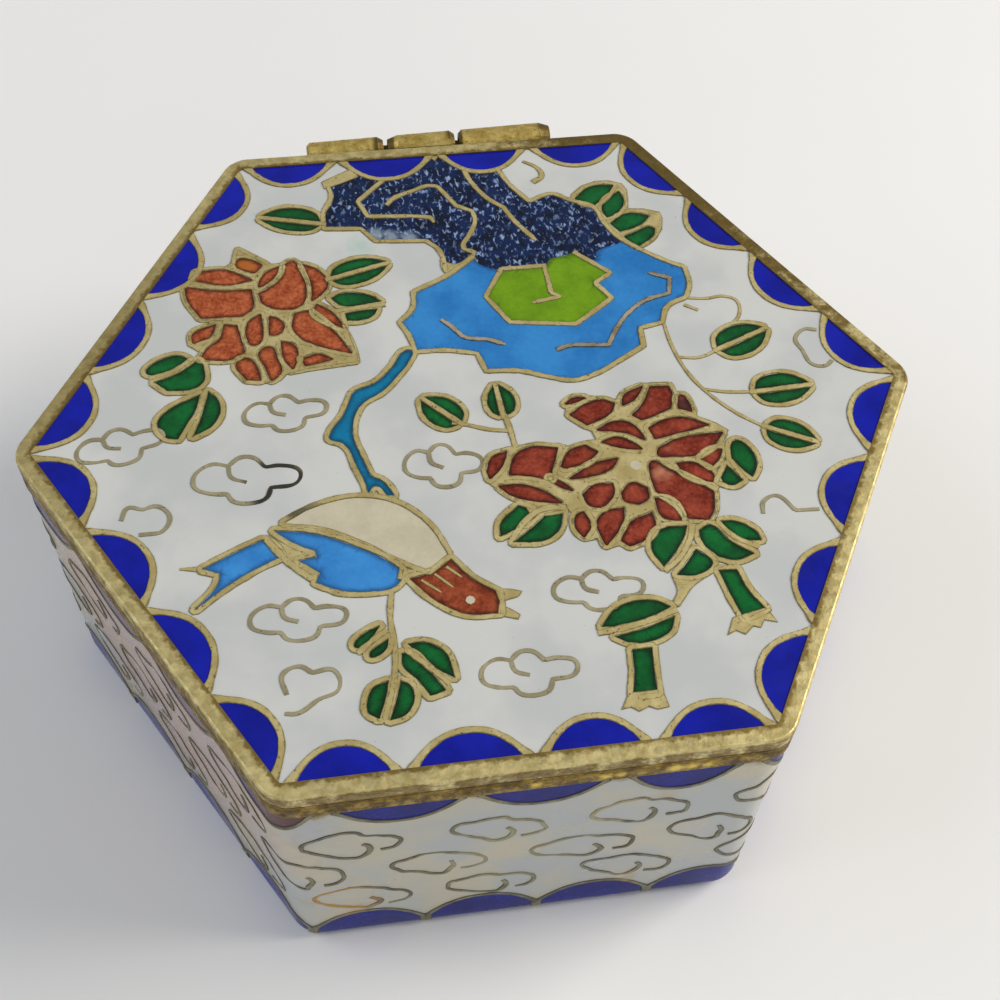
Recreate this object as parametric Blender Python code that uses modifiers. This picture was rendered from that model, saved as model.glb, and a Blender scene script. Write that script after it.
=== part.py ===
"""Hinged hexagonal trinket box: cloisonne enamel on copper, with brass rims and a brass hinge.

Metres, +Z up. The origin is the middle of the underside. Two corners of the hexagon lie on the X axis,
the hinge runs along X behind the +Y side, and the lid is shut.
"""

import math

import bmesh
import bpy
from mathutils import Matrix, Vector

# Driving dimensions
CORNER_TO_CORNER = 0.070  # the rims, before their corners are rounded
HEIGHT = 0.0277  # underside to the top of the lid's rim
GAP = 0.0003  # left between two pieces that touch

LID_HEIGHT = 0.0015
LID_RIM_WIDTH = 0.00124
LID_PLATE_SINK = 0.0001  # the enamelled plate lies this far below the top of its rim
BASE_RIM_HEIGHT = 0.0014
RIM_CORNER_RADIUS = 0.0022
RIM_EDGE_RADIUS = 0.0002
INNER_CORNER_RADIUS = 0.0005

WALL = 0.0020  # copper sheet with enamel on both sides
WALL_INSET = 0.00012  # the enamelled wall stands this far inside the rims
BODY_CORNER_RADIUS = 0.0026
BODY_FOOT_RADIUS = 0.0015
HOLLOW_FOOT_RADIUS = 0.0008

KNUCKLE_RADII = (0.00105, 0.00145)  # the hinge tapers a little from its left end to its right
BORE_RADIUS = 0.0007
PIN_RADIUS = BORE_RADIUS - GAP
KNUCKLE_CUTS = (-0.0110, -0.0040, 0.0024, 0.0108)  # ends of the hinge and its two cuts, along X
KNUCKLE_CLEARANCE = 0.0004  # width of each cut
FILING_DEPTH = 0.0003  # how far the tubes' ends are filed down
LEAF_THICKNESS = 0.0007
LEAF_HEIGHT = 0.0012

CORNER_STEPS = 6
EDGE_STEPS = 3
ROUND_STEPS = 28

# Sizes that follow from them
FLAT_TO_CENTRE = CORNER_TO_CORNER / 2 * math.cos(math.pi / 6)
WALL_TO_CENTRE = FLAT_TO_CENTRE - WALL_INSET
HOLLOW_TO_CENTRE = WALL_TO_CENTRE - WALL
LID_BOTTOM = HEIGHT - LID_HEIGHT
BASE_RIM_TOP = LID_BOTTOM - GAP
BASE_RIM_BOTTOM = BASE_RIM_TOP - BASE_RIM_HEIGHT
BODY_TOP = BASE_RIM_BOTTOM - GAP
HINGE_Y = FLAT_TO_CENTRE + GAP + max(KNUCKLE_RADII)
HINGE_Z = LID_BOTTOM - GAP / 2
SHARP_ANGLE = math.radians(35)

PARTS = "cloisonne_box"
CUTTERS = "cutters"


def material(name, colour, roughness, metallic):
    """A Principled material of one colour, given in linear red, green and blue."""
    made = bpy.data.materials.new(name)
    made.use_nodes = True
    shader = made.node_tree.nodes["Principled BSDF"]
    shader.inputs["Base Color"].default_value = (*colour, 1.0)
    shader.inputs["Roughness"].default_value = roughness
    shader.inputs["Metallic"].default_value = metallic
    return made


def add_part(name, bm, finish):
    """Turns a bmesh into a named piece of the box, with its own material."""
    mesh = bpy.data.meshes.new(name)
    bm.to_mesh(mesh)
    bm.free()
    mesh.shade_smooth()
    mesh.set_sharp_from_angle(angle=SHARP_ANGLE)
    mesh.materials.append(finish)
    made = bpy.data.objects.new(name, mesh)
    bpy.data.collections[PARTS].objects.link(made)
    return made


def add_cutter(name, bm):
    """Turns a bmesh into a cutter, which shapes a piece and is no part of the box."""
    mesh = bpy.data.meshes.new(name)
    bm.to_mesh(mesh)
    bm.free()
    cutter = bpy.data.objects.new(name, mesh)
    cutter.hide_render = True
    cutter.display_type = "WIRE"
    bpy.data.collections[CUTTERS].objects.link(cutter)
    return cutter


def combine(target, cutter, operation):
    """Cuts the cutter out of the target, or joins it on."""
    boolean = target.modifiers.new(cutter.name, "BOOLEAN")
    boolean.operation = operation
    boolean.solver = "EXACT"
    boolean.object = cutter


def round_edges(bm, chosen, reach, steps):
    """Rounds the chosen edges; reach is how far the arc starts from the edge, along its faces."""
    bmesh.ops.bevel(
        bm, geom=chosen, offset=reach, offset_type="OFFSET", segments=steps, profile=0.5, affect="EDGES"
    )


def hexagonal_prism(to_flat, bottom, top, corner_radius, foot_radius=0.0, lip_radius=0.0):
    """A bmesh of a hexagonal prism; to_flat runs from its axis to the middle of a side."""
    bm = bmesh.new()
    radius = to_flat / math.cos(math.pi / 6)
    corner_on_x = Matrix.Rotation(math.radians(30), 4, "Z")
    middle = Matrix.Translation((0, 0, (bottom + top) / 2))
    bmesh.ops.create_cone(
        bm, cap_ends=True, segments=6, radius1=radius, radius2=radius, depth=top - bottom,
        matrix=middle @ corner_on_x,
    )
    upright = [e for e in bm.edges if abs(e.verts[0].co.z - e.verts[1].co.z) > (top - bottom) / 2]
    round_edges(bm, upright, corner_radius * math.tan(math.pi / 6), CORNER_STEPS)
    for level, edge_radius in ((bottom, foot_radius), (top, lip_radius)):
        if edge_radius:
            around = [e for e in bm.edges if all(abs(v.co.z - level) < 1e-6 for v in e.verts)]
            round_edges(bm, around, edge_radius, EDGE_STEPS)
    return bm


def hexagonal_ring(name, hole_to_flat, bottom, top, finish):
    """A brass band with rounded outer corners and nearly sharp inner ones."""
    band = hexagonal_prism(
        FLAT_TO_CENTRE, bottom, top, RIM_CORNER_RADIUS, RIM_EDGE_RADIUS, RIM_EDGE_RADIUS
    )
    ring = add_part(name, band, finish)
    hole = hexagonal_prism(hole_to_flat, bottom - WALL, top + WALL, INNER_CORNER_RADIUS)
    combine(ring, add_cutter(name + "_hole", hole), "DIFFERENCE")
    return ring


def hollow_body(finish):
    """The enamelled copper cup: six walls and a floor, open at the top."""
    outside = hexagonal_prism(WALL_TO_CENTRE, 0, BODY_TOP, BODY_CORNER_RADIUS, BODY_FOOT_RADIUS)
    body = add_part("body", outside, finish)
    inside = hexagonal_prism(
        HOLLOW_TO_CENTRE, WALL, HEIGHT, BODY_CORNER_RADIUS - WALL, HOLLOW_FOOT_RADIUS
    )
    combine(body, add_cutter("body_hollow", inside), "DIFFERENCE")
    return body


def lid_plate(finish):
    """The flat enamelled plate inside the lid's rim."""
    to_flat = FLAT_TO_CENTRE - LID_RIM_WIDTH - GAP
    plate = hexagonal_prism(to_flat, LID_BOTTOM, HEIGHT - LID_PLATE_SINK, INNER_CORNER_RADIUS)
    return add_part("lid_plate", plate, finish)


def turned_about_hinge(name, outline, finish):
    """Turns a closed outline of (x, radius) points about the hinge's axis."""
    bm = bmesh.new()
    points = [bm.verts.new((x, 0, radius)) for x, radius in outline]
    for start, end in zip(points, points[1:] + points[:1]):
        bm.edges.new((start, end))
    turned = add_part(name, bm, finish)
    turned.location = (0, HINGE_Y, HINGE_Z)
    screw = turned.modifiers.new("turn", "SCREW")
    screw.axis = "X"
    screw.angle = math.tau
    screw.steps = ROUND_STEPS
    screw.render_steps = ROUND_STEPS
    screw.use_merge_vertices = True
    screw.merge_threshold = 0.00001
    screw.use_normal_calculate = True
    screw.use_smooth_shade = True
    return turned


def knuckle_radius(x):
    """The hinge's outer radius at a place along it."""
    share = (x - KNUCKLE_CUTS[0]) / (KNUCKLE_CUTS[-1] - KNUCKLE_CUTS[0])
    return KNUCKLE_RADII[0] + share * (KNUCKLE_RADII[1] - KNUCKLE_RADII[0])


def hinge_leaf(name, left, right, upward):
    """The strip that carries a knuckle on the back of its rim, up the lid (1) or down the base (-1)."""
    near = FLAT_TO_CENTRE + GAP
    root = HINGE_Z + upward * GAP / 2
    tip = root + upward * LEAF_HEIGHT
    size = Vector((right - left, LEAF_THICKNESS, abs(tip - root)))
    centre = Vector(((left + right) / 2, near + LEAF_THICKNESS / 2, (root + tip) / 2))
    bm = bmesh.new()
    bmesh.ops.create_cube(bm, size=1, matrix=Matrix.Translation(centre) @ Matrix.Diagonal((*size, 1)))
    return add_cutter(name, bm)


def hinge_knuckle(name, left, right, left_filing, right_filing, upward, finish):
    """A short tube with filed ends, and the leaf that holds it."""
    outline = [
        (left, knuckle_radius(left) - FILING_DEPTH),
        (left, BORE_RADIUS),
        (right, BORE_RADIUS),
        (right, knuckle_radius(right) - FILING_DEPTH),
        (right - right_filing, knuckle_radius(right - right_filing)),
        (left + left_filing, knuckle_radius(left + left_filing)),
    ]
    knuckle = turned_about_hinge(name, outline, finish)
    leaf = hinge_leaf(name + "_leaf", left + left_filing, right - right_filing, upward)
    combine(knuckle, leaf, "UNION")
    return knuckle


def hinge_pin(finish):
    """The wire that the three knuckles turn on, with both ends rounded over."""
    length = KNUCKLE_CUTS[-1] - KNUCKLE_CUTS[0]
    middle = Matrix.Translation(((KNUCKLE_CUTS[-1] + KNUCKLE_CUTS[0]) / 2, HINGE_Y, HINGE_Z))
    along_x = Matrix.Rotation(math.radians(90), 4, "Y")
    bm = bmesh.new()
    bmesh.ops.create_cone(
        bm,
        cap_ends=True,
        segments=ROUND_STEPS,
        radius1=PIN_RADIUS,
        radius2=PIN_RADIUS,
        depth=length,
        matrix=middle @ along_x,
    )
    rims = [e for e in bm.edges if abs(e.verts[0].co.x - e.verts[1].co.x) < length / 2]
    round_edges(bm, rims, PIN_RADIUS / 3, EDGE_STEPS)
    return add_part("hinge_pin", bm, finish)


def main():
    for old in list(bpy.data.objects):
        bpy.data.objects.remove(old)
    for name in (PARTS, CUTTERS):
        bpy.context.scene.collection.children.link(bpy.data.collections.new(name))

    hollow_body(material("body_enamel", (0.60, 0.62, 0.62), 0.25, 0.0))
    hexagonal_ring(
        "base_rim",
        HOLLOW_TO_CENTRE,
        BASE_RIM_BOTTOM,
        BASE_RIM_TOP,
        material("base_rim_brass", (0.36, 0.25, 0.06), 0.40, 1.0),
    )
    plate = lid_plate(material("lid_enamel", (0.66, 0.67, 0.66), 0.25, 0.0))
    rim = hexagonal_ring(
        "lid_rim",
        FLAT_TO_CENTRE - LID_RIM_WIDTH,
        LID_BOTTOM,
        HEIGHT,
        material("lid_rim_brass", (0.50, 0.39, 0.16), 0.35, 1.0),
    )

    left, second, third, right = KNUCKLE_CUTS
    half_cut = KNUCKLE_CLEARANCE / 2
    tube_brass = material("hinge_tube_brass", (0.45, 0.34, 0.12), 0.38, 1.0)
    hinge_knuckle("hinge_knuckle_left", left, second - half_cut, 0.0003, 0.0005, -1, tube_brass)
    middle = hinge_knuckle(
        "hinge_knuckle_middle", second + half_cut, third - half_cut, 0.0009, 0.0004, 1, tube_brass
    )
    hinge_knuckle("hinge_knuckle_right", third + half_cut, right, 0.0003, 0.0009, -1, tube_brass)
    hinge_pin(material("hinge_pin_brass", (0.40, 0.30, 0.12), 0.45, 1.0))

    # The lid's pieces hang on an empty that sits on the hinge's axis.
    pivot = bpy.data.objects.new("lid_pivot", None)
    pivot.location = (0, HINGE_Y, HINGE_Z)
    bpy.data.collections[PARTS].objects.link(pivot)
    bpy.context.view_layer.update()
    for piece in (plate, rim, middle):
        piece.parent = pivot
        piece.matrix_parent_inverse = pivot.matrix_world.inverted()


main()
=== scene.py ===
# %% [markdown]
# # A hexagonal cloisonne enamel box
#
# Cloisonne is enamel work on copper. The maker bends thin brass wire to the lines of a drawing, stands it
# on edge on the copper, fills each cell with ground glass, fires it, and grinds wire and glass flush.
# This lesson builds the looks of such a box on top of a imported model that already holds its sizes,
# its walls and its hinge. Every cell below adds one step of the craft.

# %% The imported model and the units
import math

import bmesh
import bpy
from mathutils import Matrix, Vector


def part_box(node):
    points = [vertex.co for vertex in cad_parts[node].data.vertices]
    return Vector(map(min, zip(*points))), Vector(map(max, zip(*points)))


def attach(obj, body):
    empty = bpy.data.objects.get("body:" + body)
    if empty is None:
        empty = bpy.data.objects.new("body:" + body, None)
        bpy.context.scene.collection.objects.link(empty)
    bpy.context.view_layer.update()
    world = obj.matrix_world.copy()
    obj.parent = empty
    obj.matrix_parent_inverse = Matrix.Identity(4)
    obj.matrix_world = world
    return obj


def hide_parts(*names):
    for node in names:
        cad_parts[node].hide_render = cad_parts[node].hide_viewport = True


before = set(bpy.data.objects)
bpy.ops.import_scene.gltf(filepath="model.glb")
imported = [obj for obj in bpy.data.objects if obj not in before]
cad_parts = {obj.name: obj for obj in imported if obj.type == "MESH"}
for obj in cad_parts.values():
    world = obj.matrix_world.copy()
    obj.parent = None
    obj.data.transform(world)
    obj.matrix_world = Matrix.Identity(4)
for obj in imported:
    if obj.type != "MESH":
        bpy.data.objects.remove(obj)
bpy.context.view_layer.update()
MM = 0.001

rim_low, rim_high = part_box("lid_rim")
plate_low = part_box("lid_plate")[0]
base_rim_low, base_rim_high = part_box("base_rim")
TOP = rim_high.z / MM
RIM_FLAT = -rim_low.y / MM
WALL_FLAT = -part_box("body")[0].y / MM
GAP = 0.3
INNER_FLAT = -plate_low.y / MM + GAP
print(f"box {TOP:.2f} mm tall, rim {2 * RIM_FLAT:.2f} mm across flats, picture {2 * INNER_FLAT:.2f} mm")

# %% [markdown]
# ## The camera
#
# A small box is looked at from above and in front, so near that its upright lines run together. A camera
# can be aimed by a constraint or placed by its matrix. The matrix is used here, because it also holds a
# slight roll. A small shift of the lens brings the box to the middle without turning the camera.

# %% Camera
VIEW_AZIMUTH, VIEW_ELEVATION, VIEW_ROLL = (math.radians(a) for a in (-12.0382, 56.9524, 4.2205))
VIEW_TARGET = Vector((1.523, -14.018, TOP)) * MM
VIEW_DISTANCE = 103.558 * MM
SENSOR = 36
LENS = 51.77
LENS_SHIFT = (-0.02314, 0.06173)

back = Vector((
    math.sin(VIEW_AZIMUTH) * math.cos(VIEW_ELEVATION),
    -math.cos(VIEW_AZIMUTH) * math.cos(VIEW_ELEVATION),
    math.sin(VIEW_ELEVATION),
))
level_right = Vector((math.cos(VIEW_AZIMUTH), math.sin(VIEW_AZIMUTH), 0))
level_up = back.cross(level_right)
right = math.cos(VIEW_ROLL) * level_right + math.sin(VIEW_ROLL) * level_up
up = -math.sin(VIEW_ROLL) * level_right + math.cos(VIEW_ROLL) * level_up


def placed(name, data):
    """A new object at the origin that shows its data in the scene."""
    made = bpy.data.objects.new(name, data)
    bpy.context.scene.collection.objects.link(made)
    return made


camera = placed("camera", bpy.data.cameras.new("camera"))
turn = Matrix((right, up, back)).transposed().to_4x4()
camera.matrix_world = Matrix.Translation(VIEW_TARGET + back * VIEW_DISTANCE) @ turn
camera.data.sensor_width = SENSOR
camera.data.lens = LENS
camera.data.shift_x, camera.data.shift_y = LENS_SHIFT
camera.data.clip_start = 5 * MM
camera.data.clip_end = 10
bpy.context.scene.camera = camera
print("camera at", [round(c / MM, 1) for c in camera.location], "mm")

# %% [markdown]
# ## Nodes by one small function
#
# Shader trees and Geometry Nodes trees are both lists of nodes with settings, values and links. One
# function that adds a node with all three keeps the recipes below as short as they would look on paper.
# Colours are written as the sRGB hex values that a colour picker shows, and turned linear once.

# %% Colours, links and nodes
def linear(hex_colour):
    """The linear RGBA of an sRGB colour such as "DAD8D6"."""
    shares = [int(hex_colour[i:i + 2], 16) / 255 for i in (0, 2, 4)]
    return (*(c / 12.92 if c <= 0.04045 else ((c + 0.055) / 1.055) ** 2.4 for c in shares), 1.0)


def feed(inputs, pairs):
    """Gives each input its value: a socket is linked, a list is several links, a hex string a colour."""
    for key, value in pairs:
        socket = inputs[key]
        for item in value if isinstance(value, list) else [value]:
            if isinstance(item, bpy.types.NodeSocket):
                socket.id_data.links.new(item, socket)
            elif isinstance(item, str) and socket.type == "RGBA":
                socket.default_value = linear(item)
            else:
                socket.default_value = item


def node(tree, kind, *values, out=0, **named):
    """Adds a node and returns one of its outputs, by place or name.

    The values fill the node's active inputs in order. A name with a capital is an input, too, with _ for
    a space, and any other name is a setting.
    """
    made = tree.nodes.new(kind)
    for name, value in named.items():
        if name[0].islower():
            setattr(made, name, value)
    active = [place for place, socket in enumerate(made.inputs) if socket.enabled]
    feed(made.inputs, zip(active, values))
    feed(made.inputs, [(name.replace("_", " "), v) for name, v in named.items() if name[0].isupper()])
    if isinstance(out, str):
        return made.outputs[out]
    offered = [socket for socket in made.outputs if socket.enabled]
    return offered[out] if offered else None


print("mid grey 808080 is", round(linear("808080")[0], 3), "in linear light")

# %% [markdown]
# ## Recipes that every finish shares
#
# Glass, brass and paper all look real for one reason: nothing on them is even. Soft blotches of noise,
# each of a size in millimetres, vary the colour and the gloss. Where a stain or a wire's edge ends, the
# same noise frays its edge. A material reads its own object's coordinates, so that its patches stay
# where they are when the lid swings.

# %% New materials, blotches, stains and waviness
def new_material(name):
    """A material with its tree, its Principled shader's inputs, and object coordinates in millimetres."""
    made = bpy.data.materials.new(name)
    made.use_nodes = True
    tree = made.node_tree
    place = node(tree, "ShaderNodeTexCoord", out="Object")
    where = node(tree, "ShaderNodeVectorMath", place, 1 / MM, operation="SCALE")
    return made, tree, tree.nodes["Principled BSDF"].inputs, where


def blotches(
    tree, where, size, low, high, least=0.0, most=1.0, detail=3.0, roughness=0.5, twist=0.0,
    onto=None, swing=1.0,
):
    """Noise with blotches of a size in millimetres, where low to high softly becomes least to most.

    Added onto another field, such as a distance, it frays that field's edge by up to the swing.
    """
    field = node(tree, "ShaderNodeTexNoise", where, 1 / size, detail, roughness, Distortion=twist)
    if onto:
        field = node(tree, "ShaderNodeMath", field, swing, onto, operation="MULTIPLY_ADD")
    return node(tree, "ShaderNodeMapRange", field, low, high, least, most, interpolation_type="SMOOTHSTEP")


def dyed(tree, where, colour, tint, *span, **more):
    """Tints a colour where the blotches lie; span and more are what blotches takes."""
    share = blotches(tree, where, *span, **more)
    return node(tree, "ShaderNodeMix", share, colour, tint, data_type="RGBA")


def stained(tree, where, colour, spots):
    """Tints a colour round places: each spot is (place, inner reach, outer reach, share, tint).

    A spot's edge is frayed by blotches a third of its outer reach in size, and at most 0.9 mm.
    """
    for centre, inner, outer, share, tint in spots:
        away = node(tree, "ShaderNodeVectorMath", where, centre, operation="DISTANCE")
        frayed = {"onto": away, "swing": outer - inner}
        colour = dyed(tree, where, colour, tint, min(0.9, outer / 3), inner, outer, share, 0.0, **frayed)
    return colour


def wavy(tree, where, size, depth, detail=2.0, roughness=0.5):
    """The normal of a surface that swings by depth millimetres over blotches of a size."""
    field = node(tree, "ShaderNodeTexNoise", where, 1 / size, detail, roughness)
    return node(tree, "ShaderNodeBump", 1.0, depth * MM, Height=field)


# %% [markdown]
# ## Floor and light
#
# A pale floor and broad soft lamps stand in for a table by a window. Glass enamel shows a pale veil
# where it mirrors a lamp, so the lamps stand to the sides and the front, away from the direction in
# which the lid mirrors the camera. The world is a dim even grey.

# %% Floor and lamps
CM = 0.01


def soft_lamp(name, place, size, watts, tint):
    """A square lamp at a place in centimetres, turned to the middle of the lid."""
    lamp = bpy.data.lights.new(name, "AREA")
    lamp.shape = "SQUARE"
    lamp.size = size
    lamp.energy = watts
    lamp.color = linear(tint)[:3]
    holder = placed(name, lamp)
    holder.location = Vector(place) * CM
    aim = holder.location - Vector((0, 0, TOP * MM))
    holder.rotation_mode = "QUATERNION"
    holder.rotation_quaternion = aim.to_track_quat("Z", "Y")


soft_lamp("lamp_right", (56, 4, 45), 0.42, 3.9, "FFF9F0")
soft_lamp("lamp_left", (-52, 4, 49), 0.50, 1.3, "F2F7FF")
soft_lamp("lamp_front", (10, -60, 40), 0.50, 0.5, "FFFFFF")

world = bpy.data.worlds.new("studio")
world.use_nodes = True
feed(world.node_tree.nodes["Background"].inputs, [("Color", "F2F4F6"), ("Strength", 0.30)])
bpy.context.scene.world = world
bpy.context.scene.view_settings.view_transform = "Standard"

floor_mesh = bmesh.new()
bmesh.ops.create_grid(floor_mesh, x_segments=1, y_segments=1, size=3.0)
floor = placed("floor", bpy.data.meshes.new("floor"))
floor_mesh.to_mesh(floor.data)
floor_mesh.free()
# Matt white paper: no gloss, and fibres that vary its white a little every few centimetres.
floor_paper, tree, shader, where = new_material("matt_white_paper")
fibres = node(tree, "ShaderNodeTexNoise", where, 1 / 40, 3.0)
paper = node(tree, "ShaderNodeMix", fibres, "F6F6F5", "FAFAFA", data_type="RGBA")
feed(shader, [("Base Color", paper), ("Roughness", 0.9)])
floor.data.materials.append(floor_paper)
print("floor and", len(bpy.data.lights), "lamps")

# %% [markdown]
# ## Enamel
#
# Vitreous enamel is glass on copper: a hard gloss over a colour that is never quite even, because the
# glass was ground and melted grain by grain. The colour swims in patches a few millimetres wide, with
# finer grain in it, and the ground surface keeps a slight waviness that bends the reflections.
# The recipe is one function, so that every colour of glass is the same stuff.

# %% The recipe of the coloured glasses
GLASS_IOR = 1.5


def enamel(
    name, deep, pale, patch=2.2, grain=0.35, gloss=0.2, grain_share=0.35, specular=0.4, shade_by_wire=None, spots=()
):
    """Fired glass: deep and pale end its colour, and a third colour darkens it where it meets the wires,
    partly for thinner glass there and partly as painted shade of the wire.
    """
    made, tree, shader, where = new_material(name)
    swimming = blotches(tree, where, patch, 0.32, 0.68, 0.0, 1 - grain_share, 4.0, 0.55)
    grains = blotches(tree, where, grain, 0.35, 0.75, 0.0, grain_share, 2.0, 0.6)
    share = node(tree, "ShaderNodeMath", swimming, grains, operation="ADD")
    colour = node(tree, "ShaderNodeMix", share, deep, pale, data_type="RGBA")
    colour = stained(tree, where, colour, spots)
    # Painted shade: within about half a millimetre of a wire the glass turns to its darker colour.
    if shade_by_wire:
        inward = node(tree, "ShaderNodeAttribute", out="Fac", attribute_name="inward")
        colour = dyed(tree, where, colour, shade_by_wire, 0.6, 0.16, 0.58, 0.9, 0.0, onto=inward, swing=0.3)
    feed(shader, [
        ("Base Color", colour), ("IOR", GLASS_IOR), ("Specular IOR Level", specular),
        ("Roughness", blotches(tree, where, 3.0, 0.3, 0.7, gloss * 0.8, gloss * 1.5)),
        ("Normal", wavy(tree, where, 1.6, 0.012)),
    ])
    return made


# %% The colours of glass
# Pale blooms and dark burns in the red petals, and one amber petal among the orange ones.
BLOOMS = (
    ((13.0, -7.3, TOP), 0.5, 2.2, 0.75, "D09474"),
    ((13.9, -5.0, TOP), 0.2, 1.3, 0.5, "C07A5C"),
    ((16.2, -1.0, TOP), 0.7, 1.2, 0.8, "4A2C30"),
    ((8.2, -6.4, TOP), 0.6, 2.0, 0.6, "7A4420"),
)
AMBER = (((-16.8, 17.7, TOP), 0.9, 1.5, 0.8, "B46A24"),)
# Painted shade browns the left front wall from the rim down, and the half-moon at its front corner is browned
# as well.
SHADED_LEFT_WALL = (-26.0, -15.0, 20.0)
LEFT_SHADE_AND_BROWNING = ((SHADED_LEFT_WALL, 14.0, 19.0, 0.9, "86747A"), ((-17.5, -29.5, 24.0), 2.4, 3.4, 0.9, "6A4A40"))

# Cobalt glass is the most even: only its gloss moves. On the walls it was never polished, and is duller;
# its colour there is also darker, partly as painted shade of the rim.
royal_blue = enamel("royal_blue_vitreous_enamel", "020E8C", "0A1AAE", 4.0, grain_share=0.15)
wall_blue = enamel(
    "wall_blue_vitreous_enamel", "14186A", "242A8C", 3.0, grain_share=0.2, specular=0.06, spots=LEFT_SHADE_AND_BROWNING
)
# Copper greens and blues are clearer glass, so they darken where they thin out against a wire.
# That darkening, on the reds as well, is partly painted shade of the wire.
leaf_green = enamel("green_vitreous_enamel", "024C1E", "067030", 2.4, grain_share=0.2, shade_by_wire="04240E")
lake_blue = enamel("sky_blue_vitreous_enamel", "2274BC", "3A90D8", 4.0, grain_share=0.2, shade_by_wire="1C4C80")
wing_blue = enamel("wing_blue_vitreous_enamel", "2C7CC8", "4298E2", 4.0, grain_share=0.2, shade_by_wire="285A8C")
twig_blue = enamel("teal_vitreous_enamel", "006E98", "0A80AE", 2.0, grain_share=0.2, shade_by_wire="08486A")
moss_green = enamel("lime_vitreous_enamel", "648E08", "7AA812", 2.5, grain_share=0.3, shade_by_wire="44640A")
# Iron reds are coarse: they mottle from rust to coral within a millimetre, and look velvety for it.
peony_rust = enamel(
    "rust_vitreous_enamel", "8E3812", "C86E44", 1.2, 0.3, grain_share=0.45, shade_by_wire="481A08", spots=AMBER
)
peony_red = enamel(
    "deep_red_vitreous_enamel", "6A1C0A", "AC4C34", 1.3, 0.3, grain_share=0.4, shade_by_wire="340E06", spots=BLOOMS
)
head_rust = enamel("brown_red_vitreous_enamel", "7C3012", "AC5634", 1.2, 0.3, grain_share=0.4, shade_by_wire="4C1C0A")
# Cream is opaque and soft. Counter-enamel is the plainest glass, fired once and left a little matt.
bird_cream = enamel("cream_vitreous_enamel", "C4BCA2", "D4CCB2", 2.5)
inner_blue = enamel("blue_counter_enamel", "14608E", "2A7CAC", 3.0, gloss=0.28)
print("enamels:", [m.name for m in bpy.data.materials if "enamel" in m.name])

# %% [markdown]
# ## The white ground
#
# White enamel covers most of the box. It is opaque and a little cold, with faint grey clouds, a few pin
# holes where gas burst through in the kiln, and a green stain where copper coloured the glass.

# %% White enamel
def white_enamel(name, deep, pale, specular, spots, smear_height=None):
    """White glass with clouds, pin holes, stains, and on walls a brown smear under the rim."""
    made, tree, shader, where = new_material(name)
    colour = dyed(tree, where, deep, pale, 7.0, 0.36, 0.64, detail=4.0)
    colour = dyed(tree, where, colour, "8E8C80", 0.35, 0.79, 0.83, 0.0, 0.45, detail=1.0)
    colour = stained(tree, where, colour, spots)
    if smear_height:
        height = node(tree, "ShaderNodeSeparateXYZ", where, out="Z")
        reach = (smear_height, smear_height + 1.0, 0.0, 0.8)
        colour = dyed(tree, where, colour, "8C7640", 1.6, *reach, onto=height, swing=2.4)
    feed(shader, [
        ("Base Color", colour), ("IOR", GLASS_IOR), ("Specular IOR Level", specular),
        ("Roughness", blotches(tree, where, 4.0, 0.3, 0.7, 0.16, 0.28)),
        ("Normal", wavy(tree, where, 2.0, 0.010)),
    ])
    return made


# Copper green by the rock; on the walls painted shade on the left side, gold flares from gilt wires and burns
# by the rim.
LID_STAINS = (((-7.4, 18.9, TOP), 0.9, 2.8, 0.5, "9FC6B8"),)
WALL_STAINS_AND_SHADE = (
    # Painted shade: the left front wall in warm grey.
    (SHADED_LEFT_WALL, 15.0, 26.0, 0.55, "C0958A"),
    ((-17.0, -RIM_FLAT, 8.0), 0.5, 3.0, 0.5, "A89C78"),
    ((9.6, -RIM_FLAT, 20.5), 0.4, 2.6, 0.6, "B8A070"),
    ((-13.0, -RIM_FLAT, 6.0), 0.3, 2.2, 0.5, "B89A58"),
    ((8.6, -RIM_FLAT, 4.9), 0.3, 2.0, 0.6, "B8903C"),
    ((-17.0, -RIM_FLAT, 24.6), 0.9, 1.9, 0.9, "5A3A30"),
    ((-14.6, -RIM_FLAT, 24.6), 0.7, 1.7, 0.8, "8C7A20"),
)
# Tin white is cold and glossy on the lid; the walls are warmer, and matt with handling.
lid_white = white_enamel("white_vitreous_enamel", "C8CBCA", "D6D7D4", 0.4, LID_STAINS)
wall_white = white_enamel("wall_white_vitreous_enamel", "BCC0C0", "CCC5B0", 0.08, WALL_STAINS_AND_SHADE, 25.0)
print("white grounds:", lid_white.name, wall_white.name)

# %% [markdown]
# ## The rock's glass
#
# Garden rocks in such pictures are filled with navy glass into which the maker stirs coarse grains of a
# pale blue. The grains melt into short flecks under a millimetre long, lying every way.

# %% Speckled enamel
speckled, tree, shader, where = new_material("navy_enamel_with_pale_flecks")
grains = node(tree, "ShaderNodeVectorMath", where, (1.5, 0.85, 1.0), operation="MULTIPLY")
flecks = blotches(tree, grains, 0.52, 0.53, 0.70, detail=2.0, twist=0.6)
thick = blotches(tree, where, 1.5, 0.36, 0.60, 0.35, 1.0, detail=2.0)
ground = dyed(tree, where, "04102A", "0C2452", 0.8, 0.35, 0.65)
shown = node(tree, "ShaderNodeMath", flecks, thick, operation="MULTIPLY")
colour = node(tree, "ShaderNodeMix", shown, ground, "98B0DA", data_type="RGBA")
# The rock's lower left foot is paler in three patches.
pale_patches = [((x, y, TOP), 0.6, 1.5, 0.7, "9CAEC0") for x, y in ((-5.9, 20.1), (-4.7, 19.7), (-3.2, 19.4))]
feed(shader, [
    ("Base Color", stained(tree, where, colour, pale_patches)), ("Roughness", 0.22), ("IOR", GLASS_IOR),
    ("Specular IOR Level", 0.4), ("Normal", node(tree, "ShaderNodeBump", 1.0, 0.010 * MM, Height=flecks)),
])
print("rock glass:", len(tree.nodes), "nodes")
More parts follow.
